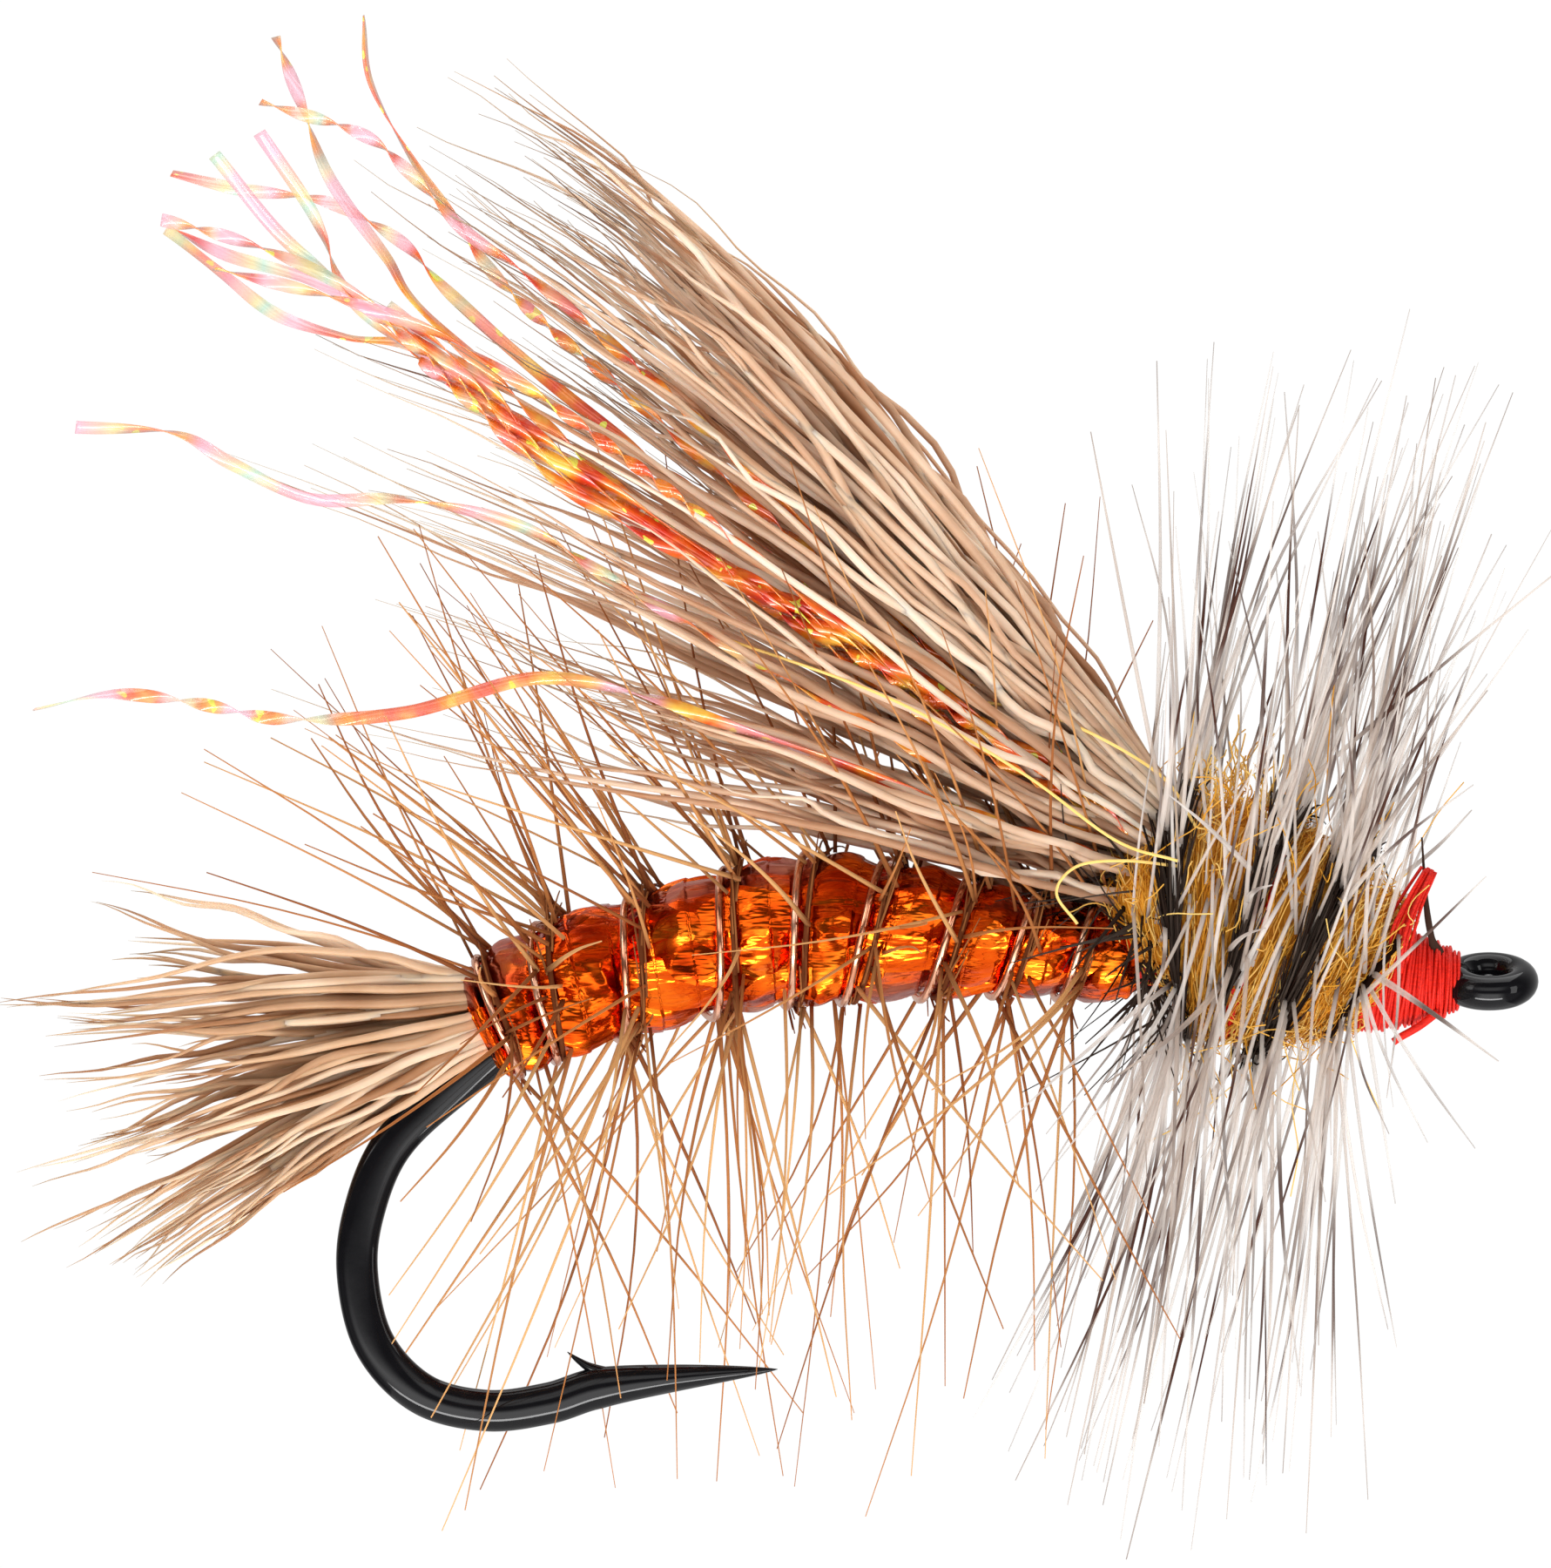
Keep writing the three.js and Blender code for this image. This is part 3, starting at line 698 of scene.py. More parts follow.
# where the wire crosses the near side, turn by turn, as shares of the body's length
RIB_CROSSINGS = [0, 0.03, 0.1, 0.235, 0.38, 0.49, 0.59, 0.715, 0.82, 0.91]
NEAR_SIDE = math.radians(270)
FILM_WRAPS = 17
FILM_EDGE = 0.028


def rib_angle(t):
    """The wire's angle round the body. Its turns are uneven, as a hand winds them."""
    turn = np.interp(t, RIB_CROSSINGS + [1], np.arange(len(RIB_CROSSINGS) + 1))
    return NEAR_SIDE + TURN * turn


def crease(place):
    """How far the crushed film stands up at a place."""
    x, y, z = place
    swell = noise.noise(Vector((x * 1.2, y * 1.1, z * 1.1)))
    valley = abs(noise.noise(Vector((x * 1.6 + 7, y * 2.4, z * 2.4))))
    return 0.05 * swell - 0.07 * valley


def make_tinsel():
    rows, columns = 460, 128
    t, angle = skin_grid(rows, columns)
    # how far each point is, in half turns, from the wire that grips the film
    turn = (rib_angle(t) - angle) / TURN
    off = np.abs(turn - np.round(turn)) * 2
    bulge = 0.17 * smooth(0, 1, off) ** 0.8 - 0.08
    # the film is laid on in overlapping turns of its own, and each edge stands up a little
    overlap = FILM_EDGE * ((FILM_WRAPS * t - angle / TURN) % 1)
    base = BODY.point(t, angle).reshape(-1, 3)
    creases = np.array([crease(place) for place in base]).reshape(rows, columns)
    close = smooth(0, 0.012, t) * smooth(1, 0.985, t)
    lift = (bulge + creases + overlap) * close - 0.22 * (1 - close)
    points = BODY.point(t, angle, lift).reshape(-1, 3)
    make_piece("tinsel_body", points, skin_faces(rows, columns), tinsel_paint(), ["body_tinsel"])


make_tinsel()


def coil(layer, angle_at, start, end, count, lift):
    """One strand wound round a layer."""
    t = np.linspace(start, end, count)
    return layer.point(t, angle_at(t), lift)[None]


def make_rib():
    path = coil(BODY, rib_angle, 0.006, 0.935, 620, 0.05)
    wire = Strands().add(path, 0.082, 0.5, sides=10, beside=FORWARD)
    wire.piece("copper_rib", copper_paint(), "copper", "rib_wire")


make_rib()


# ---- barbs and body hackle

def barbs(layer, t, angle, lean, skew, length, droop, rng, lift, samples, level=0):
    """Barbs that stand out from a wound stem.

    lean tips them back, skew turns them round the spine, droop curls them back, and level is how
    far they ignore the slope of the spine.
    """
    n = len(t)
    root = layer.point(t, angle, lift)
    back = unit(-layer.ahead(t) * (1 - level) - FORWARD * level)
    upright = UP * np.cos(angle + skew)[:, None] + ACROSS * np.sin(angle + skew)[:, None]
    out = unit(layer.out(t, angle + skew) * (1 - level) + upright * level)
    aim = out * np.cos(lean)[:, None] + back * np.sin(lean)[:, None]
    curl = back * droop[:, None] + rng.normal(0, 0.035, (n, 3))
    steps = np.array([0, 0.3, 0.62, 1])
    points = (root[:, None] + aim[:, None] * (steps[None, :, None] * length[:, None, None])
              + curl[:, None] * ((steps ** 2)[None, :, None] * length[:, None, None]))
    return spline(points, samples)


DOWN_SAMPLES = 9


def web(layer, angle_at, rng, count, start, end, sweep, rise, spread, lift=0.02):
    """The soft fibres near a stem's foot, which follow its winding and rise slowly from it."""
    t = rng.uniform(start, end, (count, 1))
    s = shares(DOWN_SAMPLES)
    turned = np.radians(rng.uniform(0.3, 1, (count, 1)) * sweep) * s
    pace = (angle_at(t + 0.01) - angle_at(t)) / 0.01
    drift = rng.normal(0, spread, (count, 1)) * s + rng.normal(0, 0.3 * spread, (count, 1))
    height = lift + rng.uniform(0.1, 1, (count, 1)) * rise * s ** 1.6
    return layer.point(np.clip(t + turned / pace + drift, 0, 1), angle_at(t) + turned, height)


def parted(angle, least):
    """How likely a barb is to be there: least where it would point out to either side."""
    return least + (1 - least) * smooth(0.25, 0.75, np.abs(np.cos(angle)))


def thinned(rng, t, angle, likely, shift, low):
    """The barbs that are kept, each moved a little along the stem."""
    kept = rng.uniform(0, 1, len(t)) < likely
    t, angle = t[kept], angle[kept]
    return np.clip(t + rng.normal(0, shift, len(t)), low, 0.97), angle


def quill_angle(t):
    return rib_angle(t) - math.radians(65)


def make_body_hackle():
    rng = np.random.default_rng(37)
    n = 400
    t = 0.02 + 0.93 * rng.uniform(0, 1, n)
    angle = quill_angle(t)
    above = smooth(0.2, 0.8, np.cos(angle))
    below = smooth(0.2, 0.8, -np.cos(angle))
    likely = parted(angle, 0.3) * (1 - 0.25 * above - 0.36 * below)
    t, angle = thinned(rng, t, angle, likely, 0.012, 0)
    n = len(t)
    top = np.clip(np.cos(angle), 0, 1)
    lean = np.radians(rng.normal(6, 15, n)) + np.radians(16) * top
    level = 0.75 * smooth(-0.2, 0.6, -np.cos(angle))[:, None]
    length = rng.uniform(6.2, 10.4, n) * (1 - 0.12 * top)
    droop = rng.normal(0.03, 0.06, n)
    skew = np.radians(rng.normal(0, 14, n))
    paths = barbs(BODY, t, angle, lean, skew, length, droop, rng, 0.08, 11, level)
    s = shares(11)
    radii = rng.uniform(0.038, 0.06, (n, 1)) * (1 - 0.75 * s)
    # barbs below the body are made paler and those above it darker: painted backlight below and painted
    # shade on top
    tone = np.clip(rng.beta(1.1, 1.1, n) - 0.14 * np.cos(angle), 0.1, 1)
    shade = rng.uniform(0, 0.7, (n, 1)) * (1 - smooth(0.02, 0.4, s))
    strands = Strands().add(paths, radii, tone, shade)
    stem = coil(BODY, quill_angle, 0.015, 0.93, 500, 0.02)
    strands.add(stem, 0.07, 0, 0.6, sides=8, flat=0.8, beside=FORWARD)
    n = 170
    down = web(BODY, quill_angle, rng, n, 0.02, 0.92, 80, 0.6, 0.009)
    strands.add(down, 0.035 * (1 - 0.6 * shares(DOWN_SAMPLES)), rng.uniform(0, 0.5, n), 0.4)
    paint = feather_paint("ginger_hackle", rgb(228, 176, 116), rgb(194, 126, 72), rgb(138, 76, 42),
                          bar=rgb(84, 44, 28), down=rgb(64, 30, 18), alpha=0.92)
    strands.piece("ginger_hackle", paint, "ginger_feather", "body_hackle")


make_body_hackle()


# ---- flash

# Each strand's route from its tip to the wing's root, [x, z], and its depth at the tip.
FLASH = [
    ([(-21.45, 18.4), (-21.35, 17.1), (-20.6, 15.6), (-19.9, 14.6), (-18.6, 12.9),
      (-14.5, 9.6), (-10, 5.6), (-6.3, 2.8)], -3),
    ([(-23.1, 18.05), (-22.6, 16.7), (-22.1, 15.3), (-21.1, 13.8), (-20.2, 12.5),
      (-16.6, 9.3), (-11, 5.4), (-6.3, 2.6)], -2.6),
    ([(-23.4, 16.75), (-21.5, 16.2), (-20.6, 15.5), (-19.5, 14.3), (-18.2, 13.3),
      (-15, 10.4), (-10.5, 6.3), (-6.3, 3)], -3.4),
    ([(-23.45, 16.05), (-22.6, 14.9), (-22.2, 14.2), (-21.7, 13.1), (-20.2, 11.8),
      (-16.8, 9.2), (-11, 5.2), (-6.3, 2.5)], -5),
    ([(-25.35, 15.45), (-24, 15.15), (-22.3, 14.95), (-20.8, 14.2), (-19.8, 13.2),
      (-16.9, 10.7), (-11, 6), (-6.3, 2.9)], 2.6),
    ([(-24.3, 15.6), (-23.2, 14.2), (-22.2, 13.3), (-21, 12.4), (-19.4, 11.2),
      (-17.2, 9.4), (-12.6, 6.8), (-6.3, 2.5)], -5.6),
    ([(-25.4, 14.5), (-24.3, 13.55), (-23.3, 12.75), (-22, 12.3), (-20.2, 11.9),
      (-17, 9.5), (-12, 6.3), (-6.3, 2.5)], 3.4),
    ([(-25.2, 14.5), (-23.8, 14.1), (-22.4, 13.5), (-21.2, 12.7), (-19.6, 11.4),
      (-17.8, 9.8), (-12.4, 6.5), (-6.3, 2.6)], -5.8),
    ([(-24.2, 13.55), (-22.6, 13.2), (-21.2, 12.8), (-19.8, 12.2), (-18.2, 11.1),
      (-15.8, 9.3), (-11.5, 6.2), (-6.3, 2.7)], -6.1),
    ([(-26.9, 10.5), (-25, 10.45), (-23.9, 9.9), (-22.4, 9.25), (-20.6, 9.2),
      (-18.4, 8.6), (-16.2, 7.2), (-11.5, 4.7), (-6.3, 2.3)], -5.2),
    ([(-27.7, 5.1), (-26.2, 5.42), (-24.6, 5.3), (-22.9, 5.05), (-20.6, 5.2),
      (-18.2, 5.8), (-16.2, 5.4), (-14, 4.6), (-6.4, 2)], -6.2),
    ([(-25.3, 14.4), (-24.3, 13.9), (-22.6, 13.4), (-21, 12.6), (-19.2, 11.1),
      (-17.4, 9.7), (-12.8, 7), (-6.3, 2.6)], 4.4),
]
# strands with a second, shorter ribbon beside the first
PAIRED_FLASH = (6, 8, 12)
# strands that hang clear of the bundle, and untwist sooner
LONE_FLASH = (10, 11)
RIBBON_HALF_WIDTH = 0.18


def flash_path(route, depth, number, reach, aside):
    """A ribbon's middle, weaving a little, and how far along the route its points are."""
    flat = evenly(spline(route[None], 300)[0], 300)
    flat = flat[: int(reach * 300)]
    s = np.linspace(0, reach, len(flat))
    weave = (aside + 0.1 * np.sin(9 * s + number)) * smooth(0.05, 0.3, s)
    y = math.copysign(0.75, depth) + depth * s ** 1.1 + 0.5 * aside
    return np.stack([flat[:, 0] + 0.6 * weave, y, flat[:, 1] + 0.8 * weave], axis=1), s


def make_flash():
    rng = np.random.default_rng(53)
    paint = flash_paint()
    for number, (route, depth) in enumerate(FLASH, 1):
        route = np.array(route)[::-1]
        lone = number in LONE_FLASH
        strands = Strands()
        ribbons = [(1, 0), (rng.uniform(0.6, 0.85), rng.choice([-0.16, 0.16]))]
        for reach, aside in ribbons[: 2 if number in PAIRED_FLASH else 1]:
            path, s = flash_path(route, depth, number, reach, aside)
            # the film is twisted tight inside the hair and opens into lazy turns towards its tip
            turns = (13 - 5 * s) * s * (0.5 if lone else 1) + 0.37 * number + aside
            turns += 0.5 * np.sin(7 * s + 2.3 * number) + 0.25 * np.sin(17 * s + number)
            # edge_on is how far the ribbon is turned from facing the camera. Together with the tight twist
            # inside the hair, it makes the shade that paints the film orange: a painted iridescent
            # reflection
            edge_on = np.abs(np.sin(TURN * turns))
            inside = 1 - (smooth(0.2, 0.5, s) if lone else smooth(0.55, 0.86, s))
            shade = np.clip(1.2 * inside + 0.85 * smooth(0.5, 0.95, edge_on), 0, 1)
            strands.add(path[None], RIBBON_HALF_WIDTH, rng.uniform(0, 1), shade[None], flat=0.1,
                        twist=(TURN * turns)[None])
        strands.piece(f"flash_ribbon_{number}", paint, "flash", f"flash_strand_{number}")


make_flash()


# ---- thorax

THORAX = Layer([
    [-6.95, 0.75, 0.95, 0.95],
    [-6.4, 1.05, 1.75, 1.55],
    [-5.6, 1.15, 2.15, 1.8],
    [-4.8, 1.1, 2.2, 1.85],
    [-3.5, 0.72, 1.85, 1.75],
    [-2.6, 0.42, 1.5, 1.45],
    [-2, 0.12, 1.15, 1.15],
])
# two long fibres that the wing has caught, and a curl beside its root
LONG_FIBRES = [
    ([(-6, 2.3), (-7.2, 2.7), (-9, 4), (-11.5, 5.4), (-14.8, 6.6)], -2.6),
    ([(-6, 2.2), (-7, 2.3), (-7.9, 2.2), (-8.3, 1.7), (-7.9, 1.1)], -1.9),
    ([(-5.6, 2.9), (-6.4, 4), (-8.5, 5.1), (-10.9, 5.6), (-13.5, 7.2)], -1.4),
]


def lumpy_skin(layer, rows, columns, size, pace):
    """Points over a layer with soft lumps, each point's lump, and the faces."""
    t, angle = skin_grid(rows, columns)
    base = layer.point(t, angle).reshape(-1, 3)
    lumps = np.array([noise.noise(Vector(place) * pace) for place in base]).reshape(rows, columns)
    points = layer.point(t, angle, size * (lumps - 0.5))
    return points.reshape(-1, 3), lumps.ravel(), skin_faces(rows, columns)


def add_laid_fur(strands, rng):
    """Fur wound round the thorax, lying close."""
    n = 1700
    t0 = rng.uniform(0.02, 0.98, (n, 1))
    a0 = rng.uniform(0, TURN, (n, 1))
    s = shares(10)
    angle = a0 + rng.uniform(0.5, 1.6, (n, 1)) * s
    t = np.clip(t0 + rng.normal(0.05, 0.07, (n, 1)) * s, 0, 1)
    rise = rng.uniform(-0.1, 0.14, (n, 1)) + rng.uniform(0, 0.3, (n, 1)) * s ** 2
    laid = wavy(THORAX.point(t, angle, rise), rng, 0.07, 1.5)
    radii = rng.uniform(0.014, 0.026, (n, 1)) * (1 - 0.6 * s)
    strands.add(laid, radii, rng.uniform(0, 1, n), sides=3)


def add_stray_fur(strands, rng):
    """Fibres that stand away from the rest."""
    n = 130
    t = rng.uniform(0.02, 0.98, n)
    angle = rng.uniform(0, TURN, n)
    root = THORAX.point(t, angle, -0.05)
    aim = unit(THORAX.out(t, angle) + rng.normal(0, 0.55, (n, 3)))
    length = rng.uniform(0.7, 2.4, (n, 1, 1))
    steps = np.linspace(0, 1, 6)[None, :, None]
    curve = root[:, None] + length * (aim[:, None] * steps + rng.normal(0, 0.35, (n, 1, 3)) * steps ** 2)
    strands.add(spline(wavy(curve, rng, 0.12, 1.2), 14), 0.015, rng.uniform(0.4, 1, n), sides=3)


def add_fur_tuft(strands, rng):
    n = 80
    t = rng.normal(0.4, 0.07, n)
    angle = rng.normal(0, 0.5, n)
    lean, skew = rng.normal(0, 0.2, n), rng.normal(0, 0.2, n)
    length = rng.uniform(0.5, 1.7, n)
    tuft = barbs(THORAX, t, angle, lean, skew, length, rng.normal(0, 0.15, n), rng, 0, 12)
    strands.add(wavy(tuft, rng, 0.08, 1.5), 0.018, rng.uniform(0.4, 1, n), sides=3)


def make_dubbing():
    rng = np.random.default_rng(71)
    points, lumps, faces = lumpy_skin(THORAX, 90, 90, 0.25, 0.9)
    paint = dubbing_paint()
    # the core's tone follows its lumps: paler where the skin stands up and darker where it sinks, which is
    # painted shade in the hollows
    make_piece("dubbing_core", points, faces, paint, ["thorax_dubbing"],
               {"tone": np.clip(0.35 + 0.3 * lumps, 0, 1)})
    strands = Strands()
    add_laid_fur(strands, rng)
    add_stray_fur(strands, rng)
    add_fur_tuft(strands, rng)
    for route, y in LONG_FIBRES:
        strands.add(flat_path(route, 60, y)[None], 0.032, 0.95, sides=5)
    strands.piece("dubbing_fur", paint, "dubbing")


make_dubbing()


# ---- front hackle

FRONT_TURNS = 3.85
BARB_SAMPLES = 15


def front_angle(t):
    return math.radians(20) + TURN * FRONT_TURNS * t


def dark_bars(rng, angle):
    """Where each barb is dark: one bar past its middle, and sometimes its tip and its foot."""
    n = len(angle)
    s = shares(BARB_SAMPLES)
    place = 0.62 + 0.06 * np.sin(2.5 * angle)[:, None] + rng.normal(0, 0.06, (n, 1))
    bar = np.exp(-((s - place) / 0.17) ** 4) * rng.uniform(0, 1.15, (n, 1)) ** 0.7
    tip = smooth(0.86, 0.97, s) * rng.uniform(0, 0.6, (n, 1))
    foot = (1 - smooth(0.02, 0.12, s)) * rng.uniform(0, 1, (n, 1))
    return np.clip(np.maximum(np.maximum(bar, tip), foot), 0, 1)


def add_standing_barbs(strands, rng):
    """The barbs that fan out round the thorax, most of them above and below it."""
    n = 480
    t = 0.03 + 0.94 * rng.uniform(0, 1, n)
    angle = front_angle(t)
    # the wing keeps the barbs behind it from standing up
    above = smooth(0.3, 0.8, np.cos(angle))
    below = smooth(0.3, 0.8, -np.cos(angle))
    likely = parted(angle, 0.15) * (1 - above * (1 - smooth(0.16, 0.3, t))) * (1 - 0.5 * below)
    t, angle = thinned(rng, t, angle, likely, 0.03, 0.04)
    n = len(t)
    wild = np.where(rng.uniform(0, 1, n) < 0.1, 1.8, 1)
    above = 0.5 + 0.5 * np.cos(angle)
    lean = (-8 - 6 * t) * above + (19 - 20 * t) * (1 - above) + rng.normal(0, 5, n) * wild
    length = rng.uniform(0, 1, n) ** 0.7
    length = (6 + 3.8 * length) * above + (7.2 + 2.9 * length) * (1 - above)
    droop = rng.normal(0, 0.045, n)
    skew = np.radians(rng.normal(0, 12, n))
    paths = barbs(THORAX, t, angle, np.radians(lean), skew, length, droop, rng, 0, BARB_SAMPLES,
                  level=0.95)
    radii = rng.uniform(0.042, 0.072, (n, 1)) * (1 - 0.8 * shares(BARB_SAMPLES) ** 1.5)
    shade = dark_bars(rng, angle)
    strands.add(paths, radii, rng.uniform(0.1, 1, n), shade)


def add_down(strands, rng, fibres, widest):
    """Dark soft fibres."""
    n = len(fibres)
    radii = rng.uniform(0.03, widest, (n, 1)) * (1 - 0.75 * shares(DOWN_SAMPLES))
    strands.add(fibres, radii, 0, rng.uniform(0.9, 1, (n, 1)))


def add_collar(strands, rng):
    """A black collar fills the waist between body and thorax."""
    n = 130
    t = rng.uniform(0, 0.12, n)
    angle = rng.uniform(0, TURN, n)
    lean = np.radians(rng.uniform(0, 75, n))
    skew = np.radians(rng.normal(0, 50, n))
    length = rng.uniform(0.5, 2, n) + 1.6 * rng.uniform(0, 1, n) ** 6
    droop = rng.normal(0, 0.3, n)
    collar = barbs(THORAX, t, angle, lean, skew, length, droop, rng, -0.1, DOWN_SAMPLES)
    add_down(strands, rng, collar, 0.06)


def add_side_barbs(strands, rng):
    """Barbs pressed against the sides of the thorax stand up or hang down beside it."""
    n = 110
    t = rng.uniform(0.06, 0.97, n)
    side = rng.choice([-1, 1], n)
    angle = side * np.radians(rng.normal(90, 24, n))
    rises = np.where(rng.uniform(0, 1, n) < 0.6, 1, -1)
    skew = -side * rises * np.radians(rng.normal(74, 12, n))
    lean = np.radians(rng.normal(0, 9, n) - 1 - 10 * rises)
    length = rng.uniform(4.5, 8.5, n)
    droop = rng.normal(0, 0.05, n)
    paths = barbs(THORAX, t, angle, lean, skew, length, droop, rng, 0.12, BARB_SAMPLES, level=0.95)
    radii = rng.uniform(0.036, 0.062, (n, 1)) * (1 - 0.8 * shares(BARB_SAMPLES) ** 1.5)
    strands.add(paths, radii, rng.uniform(0.1, 1, n), dark_bars(rng, angle))


def make_front_hackle():
    rng = np.random.default_rng(97)
    strands = Strands()
    add_standing_barbs(strands, rng)
    stem = coil(THORAX, front_angle, 0.01, 0.98, 360, 0.15)
    strands.add(stem, 0.13, 0, 1, sides=8, flat=0.6, beside=FORWARD)
    add_down(strands, rng, web(THORAX, front_angle, rng, 760, 0, 0.8, 100, 0.6, 0.04, 0.2), 0.065)
    add_collar(strands, rng)
    add_side_barbs(strands, rng)
    paint = feather_paint("grizzly_hackle", rgb(250, 245, 240), rgb(234, 224, 216), rgb(200, 180, 164),
                          bar=rgb(78, 50, 42), down=rgb(28, 15, 10), alpha=0.5)
    strands.piece("grizzly_hackle", paint, "grizzly_feather", "front_hackle")


make_front_hackle()


# ---- head and thread ends

HEAD = Layer([
    [-2.4, 0.15, 1.1, 1.1],
    [-1.9, 0.08, 0.98, 0.96],
    [-1.4, 0.02, 0.82, 0.84],
    [-0.95, 0, 0.66, 0.7],
    [-0.58, 0, 0.52, 0.58],
])
THREAD = 0.05
red_paint = thread_paint("red_thread", rgb(190, 14, 4), rgb(236, 36, 10))


def make_head():
    strands = Strands()
    # the thread goes forward in close turns, back over them in open ones, and forward again
    for turns, low, high, lift in ((24, 0, 1, 0), (-9, 0.1, 0.9, 0.03), (7, 0.2, 0.97, 0.05)):
        t = np.linspace(low, high, 900)
        angle = TURN * turns * (t - low)
        path = HEAD.point(t, angle, lift + 0.012 * np.sin(7.3 * angle))[None]
        strands.add(path, THREAD, 0.5, sides=6, flat=0.7, beside=FORWARD)
    strands.piece("red_head", red_paint, "thread", "head_thread")
    points, _, faces = lumpy_skin(HEAD, 24, 48, 0.05, 3)
    make_piece("head_core", points, faces, red_paint, [])


def make_thread_end():
    route = np.array([[-1, -0.5, -0.6], [-1.35, -0.62, -0.86], [-1.7, -0.68, -1.06],
                      [-1.85, -0.7, -1.16]])
    end = Strands().add(spline(route[None], 30), 0.085, 0.6, sides=6, flat=0.7)
    end.piece("thread_end", red_paint, "thread", "thread_tag")


def make_thread_fray():
    """A tuft of untwisted thread above the head, and a few turns that show between the fur."""
    rng = np.random.default_rng(113)
    n = 30
    spread = rng.normal(0, 1, (n, 1, 3)) * np.array([0.08, 0.1, 0.05])
    spine = np.array([[-1.8, -0.85, 0.2], [-1.74, -1, 0.9], [-1.5, -0.9, 1.5], [-1.18, -0.7, 2.1]])
    widen = np.array([0.8, 1.3, 1, 0.7])[None, :, None]
    strands = Strands().add(spline(spine[None] + spread * widen, 16), 0.045, rng.uniform(0, 1, n))
    for start in (0.42, 0.455, 0.49):
        t = np.linspace(start, start + 0.07, 120)
        angle = np.linspace(math.radians(180), math.radians(560), 120)
        strands.add(THORAX.point(t, angle, 0.06)[None], THREAD, 0.5, sides=5, beside=FORWARD)
    strands.piece("thread_fray", red_paint, "thread", "thread_tuft")


def make_stub():
    route = np.array([[-1, -0.4, 0.5], [-1.12, -0.5, 0.85], [-1.22, -0.52, 1.5], [-1.3, -0.5, 2.75]])
    s = shares(40)
    radii = 0.15 - 0.08 * smooth(0, 0.35, s) - 0.05 * smooth(0.5, 1, s)
    horn = rgb(40, 28, 24)
    paint = feather_paint("horn_stem", rgb(120, 92, 76), rgb(90, 66, 54), rgb(70, 50, 42),
                          bar=horn, down=horn, alpha=1)
    stub = Strands().add(spline(route[None], 40), radii, 0.3, 0.6, sides=8, flat=0.6)
    stub.piece("cut_stem", paint, "feather_stem", "hackle_stem_stub")


make_head()
make_thread_end()
make_thread_fray()
make_stub()


# ---- what stays as CAD

floss = thread_paint("underbody_floss", rgb(150, 50, 14), rgb(214, 92, 30))
for node in ("thread_base", "tail_binding", "wing_binding", "underbody"):
    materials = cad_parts[node].data.materials
    materials.clear()
    materials.append(floss if node == "underbody" else red_paint)


# ---- stage, light and camera

def make_stage():
    floor = bpy.data.meshes.new("pale_floor")
    half, middle, low = 0.06, -0.013, cad_low.z - 0.06
    corners = [(middle + half * x, half * y, low) for x, y in ((-1, -1), (1, -1), (1, 1), (-1, 1))]
    floor.from_pydata(corners, [], [(0, 1, 2, 3)])
    paint = Paint("pale_floor", 0.9)
    paint.give("Base Color", rgb(245, 245, 245))
    floor.materials.append(paint.material)
    plane = add_object("pale_floor", floor)


def make_light(name, place, size, radiance):
    """A soft box aimed at the fly, of a given brightness whatever its size."""
    target = (-0.012, 0, 0.003)
    lamp = bpy.data.lights.new(name, "AREA")
    lamp.shape = "RECTANGLE"
    lamp.size, lamp.size_y = size
    lamp.energy = radiance * math.pi * size[0] * size[1]
    light = add_object(name, lamp)
    light.location = place
    light.rotation_euler = (Vector(target) - Vector(place)).to_track_quat("-Z", "Y").to_euler()


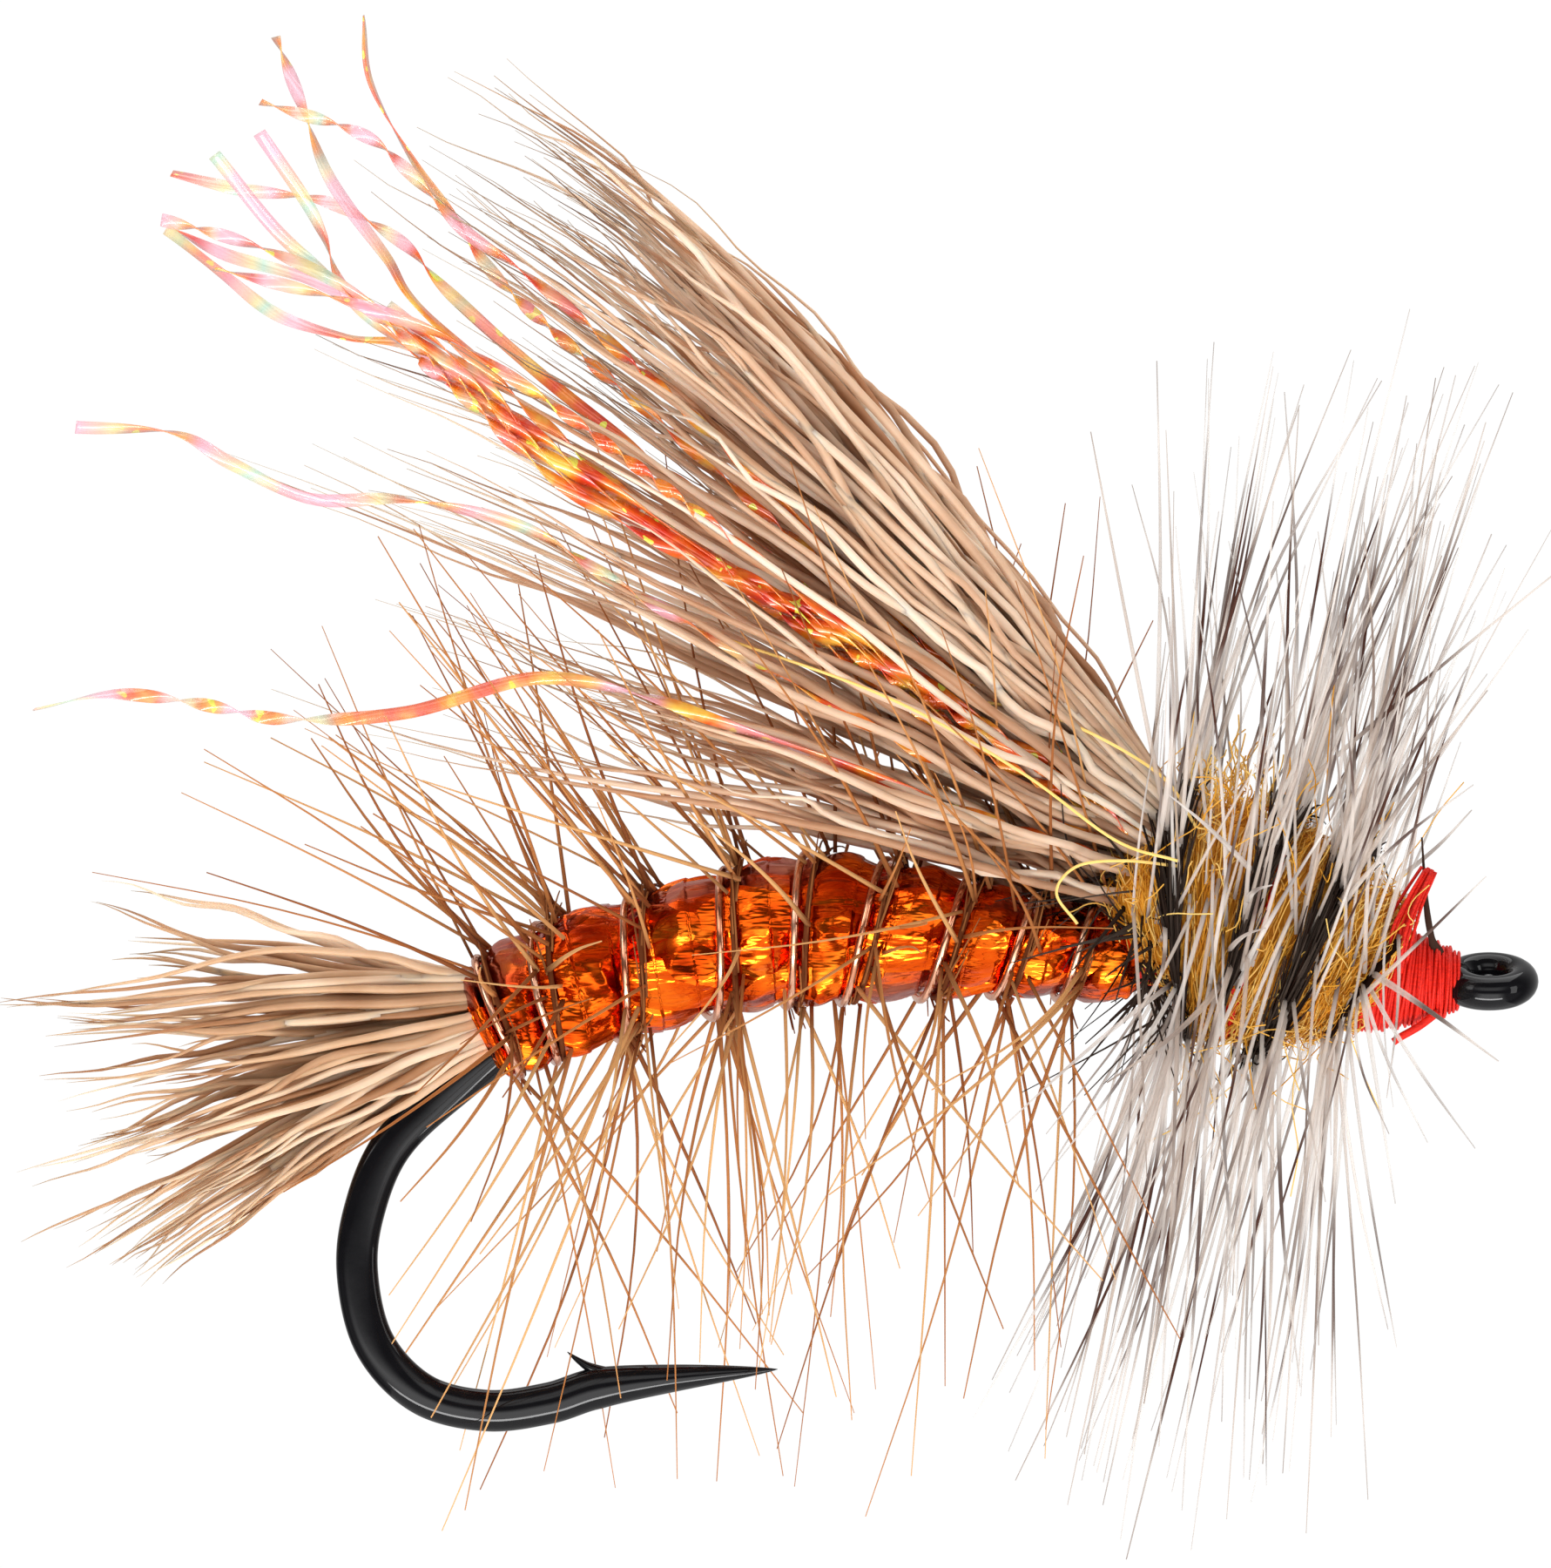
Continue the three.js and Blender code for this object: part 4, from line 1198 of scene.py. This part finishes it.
def make_world():
    """A white studio, with a dark room in front for gloss to reflect."""
    world = bpy.data.worlds.new("studio")
    world.use_nodes = True
    studio = Nodes(world.node_tree)
    rays = studio.node("ShaderNodeLightPath").node.outputs
    axes = studio.node("ShaderNodeSeparateXYZ", studio.node("ShaderNodeTexCoord")).node.outputs
    soft = {"interpolation_type": "SMOOTHSTEP"}

    def background(strength):
        return studio.node("ShaderNodeBackground", (1, 1, 1, 1), strength)

    def ramp(axis, low, high, bottom, top):
        return studio.node("ShaderNodeMapRange", axes[axis], low, high, bottom, top, settings=soft)

    def times(a, b):
        return studio.maths("MULTIPLY", a, b)

    def choose(ray, no, yes):
        return studio.node("ShaderNodeMixShader", rays[ray], no, yes)

    backdrop = ramp("Y", -0.1, 0.7, 0.13, 0.6)
    # in front, the pale table shines up at the fly and a window shines down on it
    table = times(ramp("Z", -0.25, 0.05, 2.8, 0), ramp("Z", -0.9, -0.7, 0, 1))
    window = times(ramp("Z", 0.2, 0.35, 0, 1.4), ramp("Z", 0.5, 0.7, 1, 0))
    narrow = times(ramp("X", -0.65, -0.25, 0.08, 1), ramp("X", 0.25, 0.65, 1, 0.08))
    front = times(studio.maths("ADD", table, window), ramp("Y", -0.35, -0.05, 1.15, 0))
    room = studio.maths("ADD", backdrop, times(front, narrow))
    lit = choose("Is Glossy Ray", background(0.79), background(room))
    seen = choose("Is Camera Ray", lit, background(1.02))
    studio.feed(world.node_tree.nodes["World Output"].inputs[0], seen)
    bpy.context.scene.world = world


def make_camera():
    """A long lens far in front, for a view that is 30 mm tall."""
    view_height = 30 * MM
    sensor = 24
    distance = 0.5
    camera = bpy.data.cameras.new("camera")
    camera.sensor_fit = "VERTICAL"
    camera.sensor_height = sensor
    camera.lens = sensor * distance / view_height
    camera.clip_start = 0.01
    camera.clip_end = 5
    eye = add_object("camera", camera)
    eye.location = Vector((-13.658 * MM, -distance, 3.767 * MM))
    eye.rotation_euler = (math.pi / 2, 0, 0)
    bpy.context.scene.camera = eye


make_stage()
make_world()
make_light("overhead", (-0.02, 0.04, 0.3), (0.3, 0.26), 2.2)
make_light("key_left", (-0.2, -0.2, 0.16), (0.08, 0.16), 4)
make_light("low_front", (-0.01, -0.22, -0.2), (0.34, 0.045), 16)
make_light("fill_right", (0.24, -0.16, 0.06), (0.08, 0.2), 3)
make_camera()
bpy.context.scene.view_settings.view_transform = "Standard"
